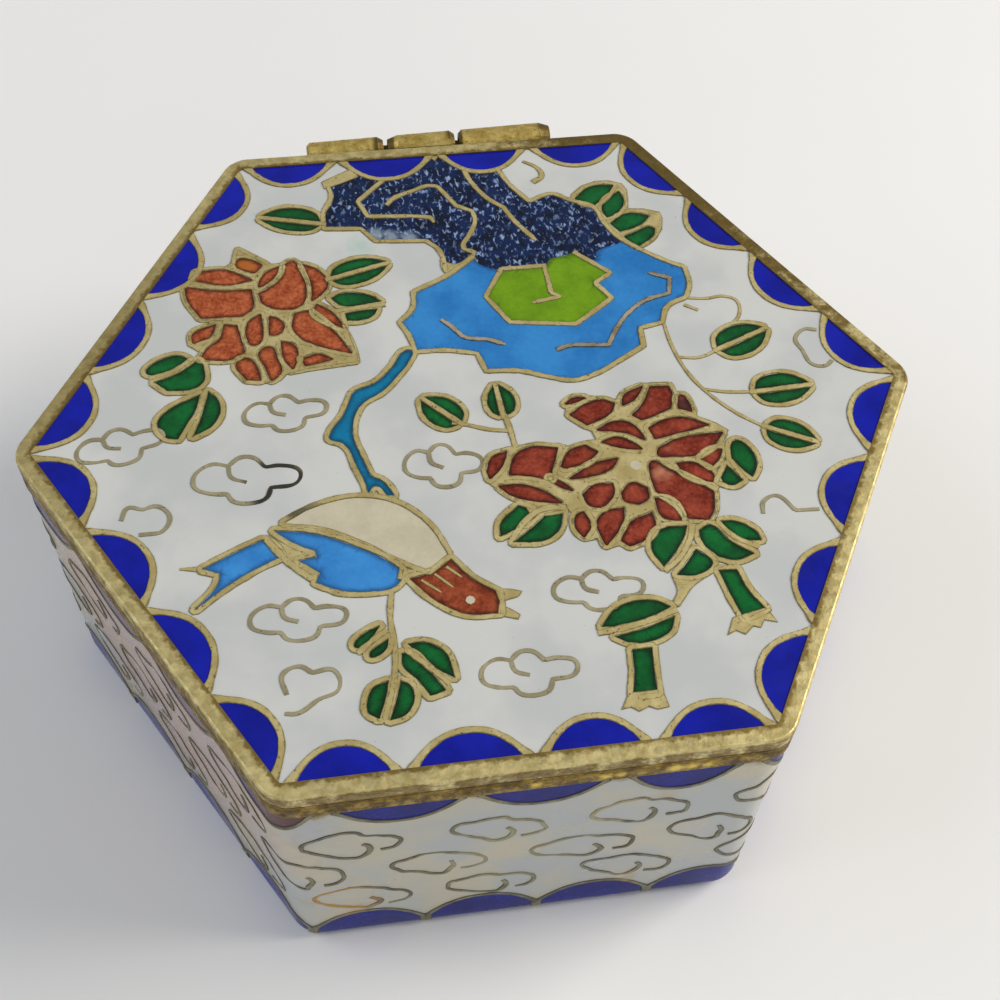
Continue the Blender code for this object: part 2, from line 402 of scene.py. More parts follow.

# %% [markdown]
# ## Brass
#
# The wires are drawn brass, ground level with the glass and left matt. Where wire meets glass, polishing
# never reaches, so each wire keeps a dark olive edge and a few black pits. The rims and the hinge are
# brass sheet: filed, handled bright on top, and brown with tarnish where fingers don't rub. Their upright
# faces are browned more, partly as painted shade.

# %% Brass wire and solder
def wire_brass(name, bright, dull, edge, metal=0.5, spots=(), sheet=False):
    """Wire that darkens to its feet, where "across" is -1 and 1, or a sheet that darkens to its outline."""
    made, tree, shader, where = new_material(name)
    if sheet:
        # 1 at the outline and 0 a fifth of a millimetre in from it, as across is on a wire.
        inward = node(tree, "ShaderNodeAttribute", out="Fac", attribute_name="inward")
        across = node(tree, "ShaderNodeMath", inward, -5.0, 1.0, operation="MULTIPLY_ADD")
    else:
        across = node(tree, "ShaderNodeAttribute", out="Fac", attribute_name="across")
        across = node(tree, "ShaderNodeMath", across, operation="ABSOLUTE")
    side = (0.40, 1.00, 1.36)
    colour = dyed(tree, where, bright, dull, 1.8, 0.35, 0.65)
    colour = dyed(tree, where, colour, edge, *side, 0.0, 0.85, onto=across)
    colour = dyed(tree, where, colour, "3A3420", 0.26, 0.62, 0.72, 0.0, 0.7, detail=2.0, roughness=0.6)
    feed(shader, [
        ("Base Color", stained(tree, where, colour, spots)),
        ("Metallic", blotches(tree, where, *side, metal, 0.0, onto=across)),
        ("Roughness", blotches(tree, where, 0.6, 0.3, 0.7, 0.42, 0.6)),
        ("Normal", wavy(tree, where, 0.25, 0.012)),
    ])
    return made


# One cloud's wire was burnt black in the kiln and smoked grey beside that; two wall clouds kept their gilt.
BURNT = (((-15.6, -5.0, TOP), 2.4, 3.4, 0.9, "141618"),)
SMOKED = (((-13.9, -7.6, TOP), 1.0, 2.4, 0.8, "4C483C"),)
GILT = (
    ((-1.0, -RIM_FLAT, 14.5), 6.0, 13.0, 0.5, "B4AC84"),
    ((6.0, -RIM_FLAT, 19.5), 2.0, 4.5, 0.5, "CCBE8C"),
    ((-14.2, -RIM_FLAT, 8.0), 2.8, 5.0, 0.8, "C09030"),
    ((8.6, -RIM_FLAT, 5.2), 1.0, 3.0, 0.8, "B8903C"),
)
# Ground wires are pale gold with olive edges, and solder is the same brass lying as a sheet. By the lake
# blue dirt stays in the pits. The clouds' thin wires are greyer, and those of the walls the darkest.
picture_wire = wire_brass("ground_brass_wire", "D8C88E", "C2B074", "6E6234", spots=SMOKED)
solder = wire_brass("brass_solder", "D8C88E", "C2B074", "6E6234", sheet=True)
lake_wire = wire_brass("water_stained_brass_wire", "B8AE94", "827A66", "1E2C3C", 0.3)
cloud_wire = wire_brass("thin_brass_wire", "B4AA88", "9A9070", "8A8468", 0.3, BURNT)
wall_wire = wire_brass("tarnished_brass_wire", "8A8468", "5E5A44", "4A4638", 0.2, GILT)
print("wires:", [m.name for m in bpy.data.materials if "wire" in m.name or "solder" in m.name])


# %% Brass sheet
# Tarnish is no metal, and it veils all of the brass a little, so the sheet is two thirds metallic.
SHEET_METAL = 0.66


def inside_rim(tree, where):
    """How far in from the rim's flat sides a point lies, in millimetres."""
    reach = 0.0
    for k in range(3):
        angle = math.radians(60 * k + 90)
        outward = (math.cos(angle), math.sin(angle), 0)
        along = node(tree, "ShaderNodeVectorMath", where, outward, operation="DOT_PRODUCT")
        along = node(tree, "ShaderNodeMath", along, operation="ABSOLUTE")
        reach = node(tree, "ShaderNodeMath", reach, along, operation="MAXIMUM")
    return node(tree, "ShaderNodeMath", RIM_FLAT, reach, operation="SUBTRACT")


def sheet_brass(
    name, bright, dull, tarnish, start, upright=0.2, speckling=0.5, seam=None, dark_side=(0, 0, 0), spots=()
):
    """Filed sheet, browner on upright faces with tarnish and painted shade, tarnished more to the dark side,
    and darker from the seam inwards.
    """
    made, tree, shader, where = new_material(name)
    normal = node(tree, "ShaderNodeNewGeometry", out="Normal")
    upness = node(tree, "ShaderNodeSeparateXYZ", normal, out="Z")
    lean = node(tree, "ShaderNodeVectorMath", where, dark_side, operation="DOT_PRODUCT")
    lean = node(tree, "ShaderNodeMath", lean, 0.0, operation="MAXIMUM")
    # Painted shade: upright faces turn browner than the tops; the lean to the dark side is tarnish.
    tarnish_and_shade = node(tree, "ShaderNodeMath", upness, -upright, lean, operation="MULTIPLY_ADD")
    brown = blotches(tree, where, 1.8, start, start + 0.18, 0.0, 0.85, 5.0, 0.65, onto=tarnish_and_shade)
    if seam:
        inward = inside_rim(tree, where)
        seam_dark = blotches(tree, where, 0.5, seam + 0.45, seam + 0.8, 0.0, 0.85, onto=inward)
        brown = node(tree, "ShaderNodeMath", brown, seam_dark, operation="MAXIMUM")
    colour = dyed(tree, where, bright, dull, 0.9, 0.35, 0.65, detail=4.0, roughness=0.65, twist=0.4)
    colour = node(tree, "ShaderNodeMix", brown, colour, tarnish, data_type="RGBA")
    speckles = (0.35, 0.44, 0.56, 0.0, speckling)
    colour = dyed(tree, where, colour, "3A2C0C", *speckles, roughness=0.6, onto=tarnish_and_shade)
    feed(shader, [
        ("Base Color", stained(tree, where, colour, spots)), ("Metallic", SHEET_METAL),
        ("Roughness", blotches(tree, where, 0.7, 0.3, 0.7, 0.36, 0.6)),
        ("Normal", wavy(tree, where, 0.5, 0.05, 4.0, 0.6)),
    ])
    return made


# %% The sheet of the rims and the hinge
# Painted glints of solder lumps under the front rim, a duller left side of the lid, and painted shade on the
# tubes' ends.
# Painted glints: the lumps are only bright colour on the cup's rim, with no shape of their own.
LUMP_GLINTS = tuple(((x, -RIM_FLAT, 25.3), r, r + 0.6, 0.9, "E8CC5C") for x, r in (
    (0.1, 0.35), (4.9, 0.35), (5.9, 0.3), (9.7, 0.5), (10.8, 0.35), (12.0, 0.3),
))
DULL_LEFT = (((-28.0, 8.0, TOP), 10.0, 30.0, 0.45, "78622A"),)
# Tarnish grows with each millimetre to the right and the back; the height's part holds it off till far out.
DARK_RIGHT = (0.027, 0.027, -0.0265)
HINGE_AXIS = (32.06, 26.05)
# Painted shade: the tubes' chamfered ends and the gaps between them are darkened, which also dims a lamp's
# reflection there.
SHADED_ENDS = tuple(
    ((x, *HINGE_AXIS), r, r + 0.25, 0.92, "5E4A1A") for x, r in ((-4.2, 1.45), (2.2, 1.45), (10.8, 1.75))
)
# The lid's rim is rubbed bright, the cup's rim is brown, the hinge is yellow and mottled, and crumbs glint.
lid_rim_brass = sheet_brass(
    "filed_brass_rim", "E2D296", "C2B074", "7C6220", 0.36, 0.32, 0.32, 0.84, DARK_RIGHT, DULL_LEFT
)
base_rim_brass = sheet_brass("brown_brass_rim", "A48836", "84681E", "5A4410", 0.42, spots=LUMP_GLINTS)
hinge_brass = sheet_brass("filed_brass_hinge", "E0C878", "BEA252", "5A3F14", 0.50, 0.12, 0.45, spots=SHADED_ENDS)
crumb_brass = sheet_brass("bright_solder_crumbs", "F0CE62", "B08A30", "5A4014", 0.46, 0.0)
print("sheet:", lid_rim_brass.name, base_rim_brass.name, hinge_brass.name, crumb_brass.name)

# %% [markdown]
# ## Bending a line
#
# A wire is bent by hand through a few points: smooth where it is bowed, sharp where it is nicked with
# pliers. A spline through few points gives both. A point is written (x, y) in millimetres from the
# middle of the lid, x to the right and y to the hinge, and a third value of 1 marks a sharp bend.

# %% Lines through points
STEP = 0.24
# In radians: an offset line goes round a bend sharper than ARC_TURN in steps of up to ARC_STEP.
ARC_TURN = 0.3
ARC_STEP = 0.5


def flow(points, closed=True):
    """Samples a smooth line through the points about every STEP millimetres."""
    count = len(points)
    spots = [Vector(p[:2]) for p in points]
    sharp = [len(p) > 2 for p in points]
    line = []
    for i in range(count if closed else count - 1):
        start, end = spots[i], spots[(i + 1) % count]
        length = (end - start).length
        leaving = arriving = (end - start) / length
        if not sharp[i] and (closed or i > 0):
            before = (start - spots[i - 1]).normalized()
            leaving = (before + leaving).normalized()
        if not sharp[(i + 1) % count] and (closed or i + 2 < count):
            beyond = (spots[(i + 2) % count] - end).normalized()
            arriving = (arriving + beyond).normalized()
        pieces = max(2, round(length / STEP))
        for k in range(pieces):
            t = k / pieces
            line.append(
                (2 * t**3 - 3 * t**2 + 1) * start
                + (t**3 - 2 * t**2 + t) * length * leaving
                + (3 * t**2 - 2 * t**3) * end
                + (t**3 - t**2) * length * arriving
            )
    if not closed:
        line.append(spots[-1])
    return line


def grown(outline, distance):
    """A closed line set off outwards by a distance, with arcs round its sharp corners."""
    area = sum(a.x * b.y - b.x * a.y for a, b in zip(outline, outline[1:] + outline[:1]))
    if area < 0:
        outline = outline[::-1]
    line = []
    for before, here, after in zip(outline[-1:] + outline[:-1], outline, outline[1:] + outline[:1]):
        first = (here - before).normalized()
        second = (after - here).normalized()
        turn = math.atan2(first.x * second.y - first.y * second.x, first.dot(second))
        start = math.atan2(-first.x, first.y)
        steps = max(1, math.ceil(turn / ARC_STEP)) if turn > ARC_TURN else 0
        angles = [start + turn * k / steps for k in range(steps + 1)] if steps else [start + turn / 2]
        line += [here + distance * Vector((math.cos(a), math.sin(a))) for a in angles]
    return line


print("a lens of four points becomes", len(flow([(0, 0, 1), (2, 1), (4, 0, 1), (2, -1)])), "points")

# %% [markdown]
# ## Wire and glass as Geometry Nodes
#
# Every wire of the box is the same recipe: a line, a flat-topped section swept along it as the grinding
# leaves it, a little unevenness from the maker's fingers. Every filled cell is the same recipe too: a
# closed line, filled and given thickness. Two Geometry Nodes trees hold the recipes, with their sizes as
# named inputs, so that the picture below is only lines. The section stores how far across the wire each
# point lies, which is what darkens the wire's sides in its material.

# %% Starting, ending and running a tree
def start_tree(name, **sockets):
    """An empty modifier tree with a geometry input and named inputs; returns it and its inputs.

    Each input is given as its type, or as a default value whose type it takes; _ stands for a space.
    """
    tree = bpy.data.node_groups.new(name, "GeometryNodeTree")
    tree.is_modifier = True
    tree.interface.new_socket("Geometry", in_out="INPUT", socket_type="NodeSocketGeometry")
    for label, value in sockets.items():
        kind = value if isinstance(value, str) else type(value).__name__.capitalize()
        made = tree.interface.new_socket(
            label.replace("_", " "), in_out="INPUT", socket_type="NodeSocket" + kind
        )
        if kind != value:
            made.default_value = value
    tree.interface.new_socket("Geometry", in_out="OUTPUT", socket_type="NodeSocketGeometry")
    return tree, tree.nodes.new("NodeGroupInput").outputs


def end_tree(tree, shape, finish):
    """Ends a tree in real geometry with its material."""
    real = node(tree, "GeometryNodeRealizeInstances", shape)
    node(tree, "NodeGroupOutput", node(tree, "GeometryNodeSetMaterial", real, Material=finish))


def apply_tree(drawn, tree, name, **values):
    """Runs a tree on an object with named values and keeps the result as a plain mesh object."""
    modifier = drawn.modifiers.new(tree.name, "NODES")
    modifier.node_group = tree
    for item in tree.interface.items_tree:
        key = item.name.replace(" ", "_")
        if item.in_out == "INPUT" and key in values:
            modifier[item.identifier] = values[key]
    evaluated = drawn.evaluated_get(bpy.context.evaluated_depsgraph_get())
    mesh = bpy.data.meshes.new_from_object(evaluated)
    mesh.name = name
    bpy.data.objects.remove(drawn)
    return placed(name, mesh)


def curve_object(name, lines, level):
    """A curve object of straight-sided lines; each line is (points in mm, half widths in mm, closed)."""
    data = bpy.data.curves.new(name, "CURVE")
    data.dimensions = "3D"
    for points, half_widths, closed in lines:
        spline = data.splines.new("POLY")
        spline.points.add(len(points) - 1)
        spline.use_cyclic_u = closed
        for spot, here, half_width in zip(spline.points, points, half_widths):
            spot.co = (here.x * MM, here.y * MM, level * MM, 1)
            spot.radius = half_width * MM
    return placed(name, data)


# %% The recipe of a wire
WIRE_LIFT = 0.03
LIFT_SPREAD = 0.004
FLOOD_SIZE = 3.5
FINGER_SIZE = 0.9


def swept(tree, line, step, height, unevenness, seed, flooding=0.0):
    """Nodes that sweep the wire's section along a line; flooding sinks stretches of it under the glass."""
    even = node(tree, "GeometryNodeResampleCurve", line, Length=step, mode="LENGTH")
    flat = node(tree, "GeometryNodeSetCurveNormal", even, mode="Z_UP")
    lifts = [(WIRE_LIFT + side * LIFT_SPREAD) * MM for side in (-1, 1)]
    which = node(tree, "GeometryNodeCurveOfPoint")
    lift = node(tree, "FunctionNodeRandomValue", *lifts, which, seed, data_type="FLOAT")
    here = node(tree, "GeometryNodeInputPosition")
    flood = blotches(tree, here, FLOOD_SIZE * MM, 0.54, 0.64, 0.0, flooding, 1.0)
    rise = node(tree, "ShaderNodeMath", lift, flood, operation="SUBTRACT")
    moved = node(tree, "GeometryNodeSetPosition", flat, Offset=node(tree, "ShaderNodeCombineXYZ", Z=rise))
    # The section's top is 2 wide, so its x is the place across the wire, from -1 to 1.
    section = node(
        tree, "GeometryNodeCurvePrimitiveQuadrilateral",
        Height=height, Bottom_Width=1.7, Top_Width=2.0, Offset=0.0, mode="TRAPEZOID",
    )
    across = node(tree, "ShaderNodeSeparateXYZ", here)
    section = node(
        tree, "GeometryNodeStoreNamedAttribute", section, Name="across", Value=across, data_type="FLOAT"
    )
    fingers = node(tree, "ShaderNodeTexNoise", here, 1 / (FINGER_SIZE * MM), 2.0)
    swing = node(tree, "ShaderNodeMath", fingers, 2.0, -1.0, operation="MULTIPLY_ADD")
    share = node(tree, "ShaderNodeMath", swing, unevenness, 1.0, operation="MULTIPLY_ADD")
    radius = node(tree, "GeometryNodeInputRadius")
    width = node(tree, "ShaderNodeMath", share, radius, operation="MULTIPLY")
    solid = node(tree, "GeometryNodeCurveToMesh", moved, section, Scale=width, Fill_Caps=True)
    return node(tree, "GeometryNodeSetShadeSmooth", solid, Shade_Smooth=False)


wire_tree, given = start_tree(
    "swept_cloison_wire", Step=STEP * MM, Height_share=0.4, Unevenness=0.3, Flooding=0.0, Seed=1,
    Brass="Material",
)
sizes = [given[name] for name in ("Geometry", "Step", "Height share", "Unevenness", "Seed", "Flooding")]
end_tree(wire_tree, swept(wire_tree, *sizes), given["Brass"])
print("wire tree has", len(wire_tree.nodes), "nodes")


# %% The recipe of a glass
def poured(tree, line, depth, apart=1, fineness=None):
    """Nodes that fill closed lines: each alone, or with apart 0 all as one sheet, with holes.

    The sheets are given depth, and with a fineness they store how far inward each point lies.
    """
    which = node(tree, "GeometryNodeCurveOfPoint")
    group = node(tree, "ShaderNodeMath", which, apart, operation="MULTIPLY")
    film = node(tree, "GeometryNodeFillCurve", line, group, mode="TRIANGLES" if fineness else "NGONS")
    if fineness:
        film = node(tree, "GeometryNodeSubdivideMesh", film, fineness)
        edge = node(tree, "GeometryNodeCurveToMesh", line)
        inward = node(tree, "GeometryNodeProximity", edge, out="Distance", target_element="EDGES")
        inward = node(tree, "ShaderNodeMath", inward, MM, operation="DIVIDE")
        film = node(
            tree, "GeometryNodeStoreNamedAttribute", film, Name="inward", Value=inward, data_type="FLOAT"
        )
    down = node(tree, "ShaderNodeCombineXYZ", Z=-1.0)
    sunk = node(
        tree, "GeometryNodeExtrudeMesh", film, Offset=down, Offset_Scale=depth, Individual=False, mode="FACES"
    )
    flipped = node(tree, "GeometryNodeFlipFaces", sunk)
    both = node(tree, "GeometryNodeJoinGeometry", [film, flipped])
    return node(tree, "GeometryNodeMergeByDistance", both, Distance=0.001 * MM)


def lifted(tree, shape, level):
    """Moves a shape up to a level."""
    rise = node(tree, "ShaderNodeCombineXYZ", Z=level)
    return node(tree, "GeometryNodeTransform", shape, Translation=rise)


glass_tree, given = start_tree(
    "poured_enamel", Depth=0.3 * MM, Level=0.0, Apart=1, Fineness=1, Enamel="Material"
)
poured_cell = poured(glass_tree, given["Geometry"], given["Depth"], given["Apart"], given["Fineness"])
end_tree(glass_tree, lifted(glass_tree, poured_cell, given["Level"]), given["Enamel"])
print("glass tree has", len(glass_tree.nodes), "nodes")

# %% [markdown]
# ## Levels
#
# Grinding leaves the brass a hair proud of the glass, and each colour at nearly the same height. The rim
# is the highest, so the lid slides on a table without scratching its picture.

# %% Levels and the lists that the picture fills
GROUND = TOP - 0.14
WIRE = 0.52
THIN_END = 0.45
lid_wires = []
lid_ribs = []
lid_ripples = []
lid_cloud_lines = []
lid_cells = {}


def wire(points, width=WIRE, tail=None, to=lid_wires, closed=False):
    """Lays a wire; tail is the length over which its far end thins out, in millimetres."""
    line = flow(points, closed)
    half = width / 2
    halves = [half] * len(line)
    if tail:
        for k in range(min(len(line), round(tail / STEP))):
            halves[-1 - k] = half * (THIN_END + (1 - THIN_END) * k * STEP / tail)
    to.append((line, halves, closed))


def pour(glass, outline):
    """Glass poured up to a closed line."""
    lid_cells.setdefault(glass, []).append((outline, [0] * len(outline), True))


def pool(glass, *outlines):
    """Glass poured through points, without a wire of its own."""
    for points in outlines:
        pour(glass, flow(points))


def cell(glass, points, width=WIRE, swell=0.0):
    """Glass with its wire round it; the points run along the inside of the wire."""
    outline = grown(flow(points), swell) if swell else flow(points)
    pour(glass, outline)
    ring = grown(outline, width / 2)
    lid_wires.append((ring, [width / 2] * len(ring), True))
    return outline


print(f"the glass lies {TOP - GROUND:.2f} mm under the rim, and a wire is {WIRE} mm wide")


# %% Petals and leaves
RIB = 0.5


def lens(start, end, left, right_side):
    """The points of a petal with two bows between two sharp ends, left and right of the way."""
    start, end = Vector(start), Vector(end)
    along = end - start
    side = Vector((-along.y, along.x)).normalized()
    bow = ((0.2, 0.64), (0.5, 1.0), (0.8, 0.64))
    up_way = [start + along * t + side * left * share for t, share in bow]
    back_way = [start + along * t - side * right_side * share for t, share in reversed(bow)]
    return [(*start, 1), *up_way, (*end, 1), *back_way]


def leaf(base, tip, left, right_side):
    """Two half-moons of green either side of a mid-rib that runs from base to tip."""
    base, tip = Vector(base), Vector(tip)
    along = tip - base
    side = Vector((-along.y, along.x)).normalized()
    bow = ((0.14, 0.72), (0.42, 1.0), (0.70, 0.86), (0.90, 0.45))
    by_the_rib = ((1.0, RIB * 0.4, 1), (0.5, RIB * 0.5))
    for swell, sign in ((left, 1), (right_side, -1)):
        half = [(0.04, RIB * 0.55, 1), *((t, swell * share) for t, share in bow), *by_the_rib]
        half = [(*(base + along * t + side * sign * out), *sharp) for t, out, *sharp in half]
        cell("leaf_green", half, 0.46)
    wire([base - along * 0.06, base + along * 0.5, tip + along * 0.04], RIB, to=lid_ribs)


print("a petal has", len(lens((0, 0), (2, 0), 0.5, 0.5)), "points")

# %% [markdown]
# ## The border of half-moons
#
# Blue half-moons run round the lid, four to a side, their round sides to the middle. One pattern bow is
# drawn, and a Geometry Nodes tree lays it along each side by count, stretches each copy a little, closes
# it for the glass and sweeps it for the wire. The bow's wire flares where it meets the rim, because
# solder ran into the corner there. The same tree borders the walls later.

# %% The half-moon tree
tree, given = start_tree(
    "row_of_half_moons", Path="Object", Count=24, Shift=0.5, Stretch=0.05, Seed=3, Depth=0.2 * MM,
    Wire_height=0.4, Unevenness=0.3, Step=STEP * MM, Level=0.0, Enamel="Material", Brass="Material",
)
# A bow faces the way that the path goes: it looks this share of the path further on.
ONWARD = 0.004
along_path = {"out": "Position", "mode": "FACTOR", "use_all_curves": True}
path = node(tree, "GeometryNodeObjectInfo", given["Path"], out="Geometry")
index = node(tree, "GeometryNodeInputIndex")
share = node(tree, "ShaderNodeMath", index, given["Shift"], operation="ADD")
share = node(tree, "ShaderNodeMath", share, given["Count"], operation="DIVIDE")
place = node(tree, "GeometryNodeSampleCurve", path, Factor=share, **along_path)
places = node(tree, "GeometryNodePoints", given["Count"], place)
further = node(tree, "ShaderNodeMath", share, ONWARD, operation="ADD")
further = node(tree, "GeometryNodeSampleCurve", path, Factor=further, **along_path)
onward = node(tree, "ShaderNodeVectorMath", further, place, operation="SUBTRACT")
facing = node(tree, "FunctionNodeAlignRotationToVector", Vector=onward, axis="X", pivot_axis="Z")
ends = []
for operation in ("SUBTRACT", "ADD"):
    end = node(tree, "ShaderNodeMath", 1.0, given["Stretch"], operation=operation)
    ends.append(node(tree, "ShaderNodeCombineXYZ", end, end, 1.0))
stretch = node(tree, "FunctionNodeRandomValue", *ends, Seed=given["Seed"], data_type="FLOAT_VECTOR")
copies = node(
    tree, "GeometryNodeInstanceOnPoints", places, Instance=given["Geometry"], Rotation=facing, Scale=stretch
)
moons = node(tree, "GeometryNodeRealizeInstances", copies)
closed_bows = node(tree, "GeometryNodeSetSplineCyclic", moons, Cyclic=True)
glass = lifted(tree, poured(tree, closed_bows, given["Depth"]), given["Level"])
glass = node(tree, "GeometryNodeSetMaterial", glass, Material=given["Enamel"])
ring = swept(tree, moons, given["Step"], given["Wire height"], given["Unevenness"], given["Seed"])
ring = node(tree, "GeometryNodeSetMaterial", ring, Material=given["Brass"])
node(tree, "NodeGroupOutput", node(tree, "GeometryNodeJoinGeometry", [glass, ring]))
border_tree = tree
print("border tree has", len(tree.nodes), "nodes")

# %% The pattern bow and its path
BOW_POWER = 2.3
BOW_STEPS = 32
FLARE_REACH = 0.75


def half_moon(name, chord, depth, dip, half_width, flare, leg=0.0):
    """The pattern bow on upright legs; its ends run past the path by the dip and grow to the flare."""
    reach = (1 + dip / depth) ** (1 / BOW_POWER) if leg == 0 else 1.0
    places = [reach * (2 * k / BOW_STEPS - 1) for k in range(BOW_STEPS + 1)]
    points = [Vector((x * chord / 2, leg + depth * (1 - abs(x) ** BOW_POWER))) for x in places]
    if leg:
        points = [Vector((-chord / 2, -dip)), *points, Vector((chord / 2, -dip))]
    half_widths = [
        half_width + (flare - half_width) * max(0.0, 1 - max(0.0, p.y - leg) / FLARE_REACH) ** 1.5
        for p in points
    ]
    return curve_object(name, [(points, half_widths, False)], 0.0)


def hexagon_corners(to_flat):
    """The corners of a hexagon from its front left one, anticlockwise."""
    reach = to_flat / math.cos(math.pi / 6)
    corners = [math.radians(60 * k - 120) for k in range(6)]
    return [reach * Vector((math.cos(a), math.sin(a))) for a in corners]


path = curve_object("lid_path", [(hexagon_corners(INNER_FLAT), [1] * 6, True)], GROUND)
pattern = half_moon("lid_half_moon", 7.25, 2.36, 0.3, 0.26, 0.42)
lid_border = apply_tree(
    pattern, border_tree, "lid_half_moons", Path=path, Count=24, Shift=0.5, Stretch=0.06, Seed=5,
    Enamel=royal_blue, Level=(GROUND + 0.018) * MM, Brass=picture_wire,
)
bpy.data.objects.remove(path)
print("lid border:", len(lid_border.data.polygons), "faces")

# %% [markdown]
# ## The garden rock and the lake
#
# The rock stands at the back of the lid with its top under the border, and below it lies a lake with a
# patch of moss. Their glass is poured first, as three pools. Wires are then laid over the edges of the
# pools and across them: nicked ones for the rock and its ledges, bowed ones for the shore and ripples.

# %% Pools of the rock, the lake and the moss
pool("rock_speckled", [
    (-7.4, 27.6), (-8.3, 26.8), (-9.5, 26.1, 1), (-9.3, 24.9), (-10.1, 23.1), (-10.1, 21.1, 1),
    (-7.1, 20.8, 1), (-6.0, 19.2, 1), (-1.8, 18.8, 1), (-0.9, 17.7), (-0.6, 16.0), (0.4, 15.4), (1.9, 16.6),
    (2.2, 15.8), (3.8, 14.9), (7.8, 14.9), (9.4, 15.9), (10.4, 15.9), (11.8, 15.0), (12.3, 16.1),
    (14.6, 17.2), (13.5, 19.6), (13.0, 21.2), (11.0, 22.4), (9.6, 23.3), (7.5, 22.6), (6.1, 24.9),
    (5.3, 27.0), (3.6, 27.6), (0.4, 29.0, 1), (-0.4, 29.0, 1), (-4.0, 27.6),
])
SHORE = [
    (1.9, 16.6, 1), (-0.5, 14.7), (-3.5, 13.2, 1), (-3.8, 11.3), (-5.0, 10.0, 1), (-4.4, 8.6), (-4.0, 6.7, 1),
    (-1.6, 6.6), (0.8, 6.0, 1), (1.3, 4.1, 1), (4.0, 3.8), (6.0, 3.0), (8.0, 2.4), (10.0, 2.9), (12.0, 4.0),
    (14.2, 5.3, 1), (14.3, 7.2, 1), (16.2, 7.6, 1), (17.0, 9.3), (18.7, 10.1, 1), (19.3, 11.5),
    (19.3, 13.5, 1), (18.0, 14.3),
]
pool("lake", [
    *SHORE, (15.9, 16.2), (14.6, 17.2, 1), (12.3, 16.1), (11.8, 15.0), (10.4, 15.9), (7.8, 14.9), (4.0, 14.9),
    (2.4, 15.6),
])
MOSS_EDGE = [
    (7.8, 14.9, 1), (4.0, 14.9, 1), (2.3, 12.0, 1), (3.9, 9.0, 1), (9.2, 8.2, 1), (12.6, 10.7, 1),
    (11.5, 12.5, 1), (13.0, 13.5, 1), (10.3, 16.2, 1),
]
pool("moss", [*MOSS_EDGE, (9.6, 15.9), (8.2, 15.6)])
print("pools of", ", ".join(lid_cells))

# %% Edges, ledges and ripples
for edge in (
    [(-9.5, 26.3, 1), (-9.3, 25.0), (-9.5, 24.3), (-10.1, 23.1), (-10.2, 21.1, 1), (-7.1, 20.8, 1),
     (-6.0, 19.2, 1), (-1.8, 18.8, 1), (-0.9, 17.7), (-0.6, 16.4), (-0.6, 15.2)],
    [(5.3, 27.0), (6.1, 24.9), (7.5, 22.6, 1), (9.6, 23.3), (11.0, 22.4, 1), (13.0, 21.2), (13.4, 19.7),
     (14.3, 17.7), (15.7, 16.2), *reversed(SHORE)],
    MOSS_EDGE,
):
    wire(edge, 0.5)
for ledge in (
    [(-4.6, 26.6), (-7.1, 24.1, 1), (-6.4, 22.2, 1), (-4.4, 22.0), (-2.4, 21.8), (-1.1, 21.5, 1),
     (-0.9, 20.9)],
    [(-4.7, 23.4), (-4.1, 24.1), (-2.3, 24.9), (-0.9, 25.4), (-0.1, 25.2, 1), (1.2, 22.7, 1),
     (2.5, 21.9, 1), (2.6, 20.9), (2.2, 19.7), (1.2, 18.1, 1), (1.2, 17.5, 1), (2.0, 17.1, 1), (1.9, 16.6)],
    [(2.4, 27.0), (2.8, 25.6), (4.0, 23.3), (5.2, 22.1, 1), (5.9, 20.4), (7.4, 17.9)],
    [(7.6, 14.9), (7.7, 12.8), (7.7, 11.8, 1), (8.4, 11.3, 1), (6.0, 10.9)],
):
    wire(ledge, 0.48, tail=0.5)
pool(
    "solder",
    [(-7.1, 28.3, 1), (-8.5, 27.6), (-10.0, 26.8, 1), (-9.8, 25.9, 1), (-8.4, 26.4), (-6.8, 27.1, 1)],
    [(-0.9, 16.6, 1), (0.3, 15.9), (1.8, 16.9, 1), (2.1, 16.4, 1), (0.6, 15.2), (-0.4, 14.5, 1),
     (-0.9, 15.4)],
    [(-0.5, 29.05, 1), (0.5, 29.05, 1), (0.0, 28.4, 1)],
)
for ripple in (
    [(-1.6, 9.9), (-0.8, 9.0), (-0.1, 7.9, 1), (0.6, 7.6), (1.8, 7.4), (3.2, 6.7)],
    [(7.2, 5.7), (8.2, 6.0), (9.8, 5.9), (11.4, 5.7, 1), (12.4, 7.4), (13.5, 8.8), (15.2, 10.1),
     (17.4, 10.7, 1), (17.8, 12.4, 1), (16.1, 13.2)],
):
    wire(ripple, 0.5, tail=0.6, to=lid_ripples)
print(len(lid_wires), "wires on the rock and the lake")

# %% [markdown]
# ## Peonies
#
# A peony is a nest of petals, each a cell of its own. Behind and between their wires lies a sheet of
# brass, because solder filled every gap. The sheet is one outline with a hole for every petal.

# %% The left peony
PETAL_WIRE = 0.42


def flower(glass, rim, petals):
    """Petals of one glass, and a brass sheet up to the rim that fills every gap between them."""
    holes = [grown(cell(glass, petal, PETAL_WIRE, 0.1), 0.08) for petal in petals]
    for line in ([Vector(p) for p in rim], *holes):
        pour("solder", line)


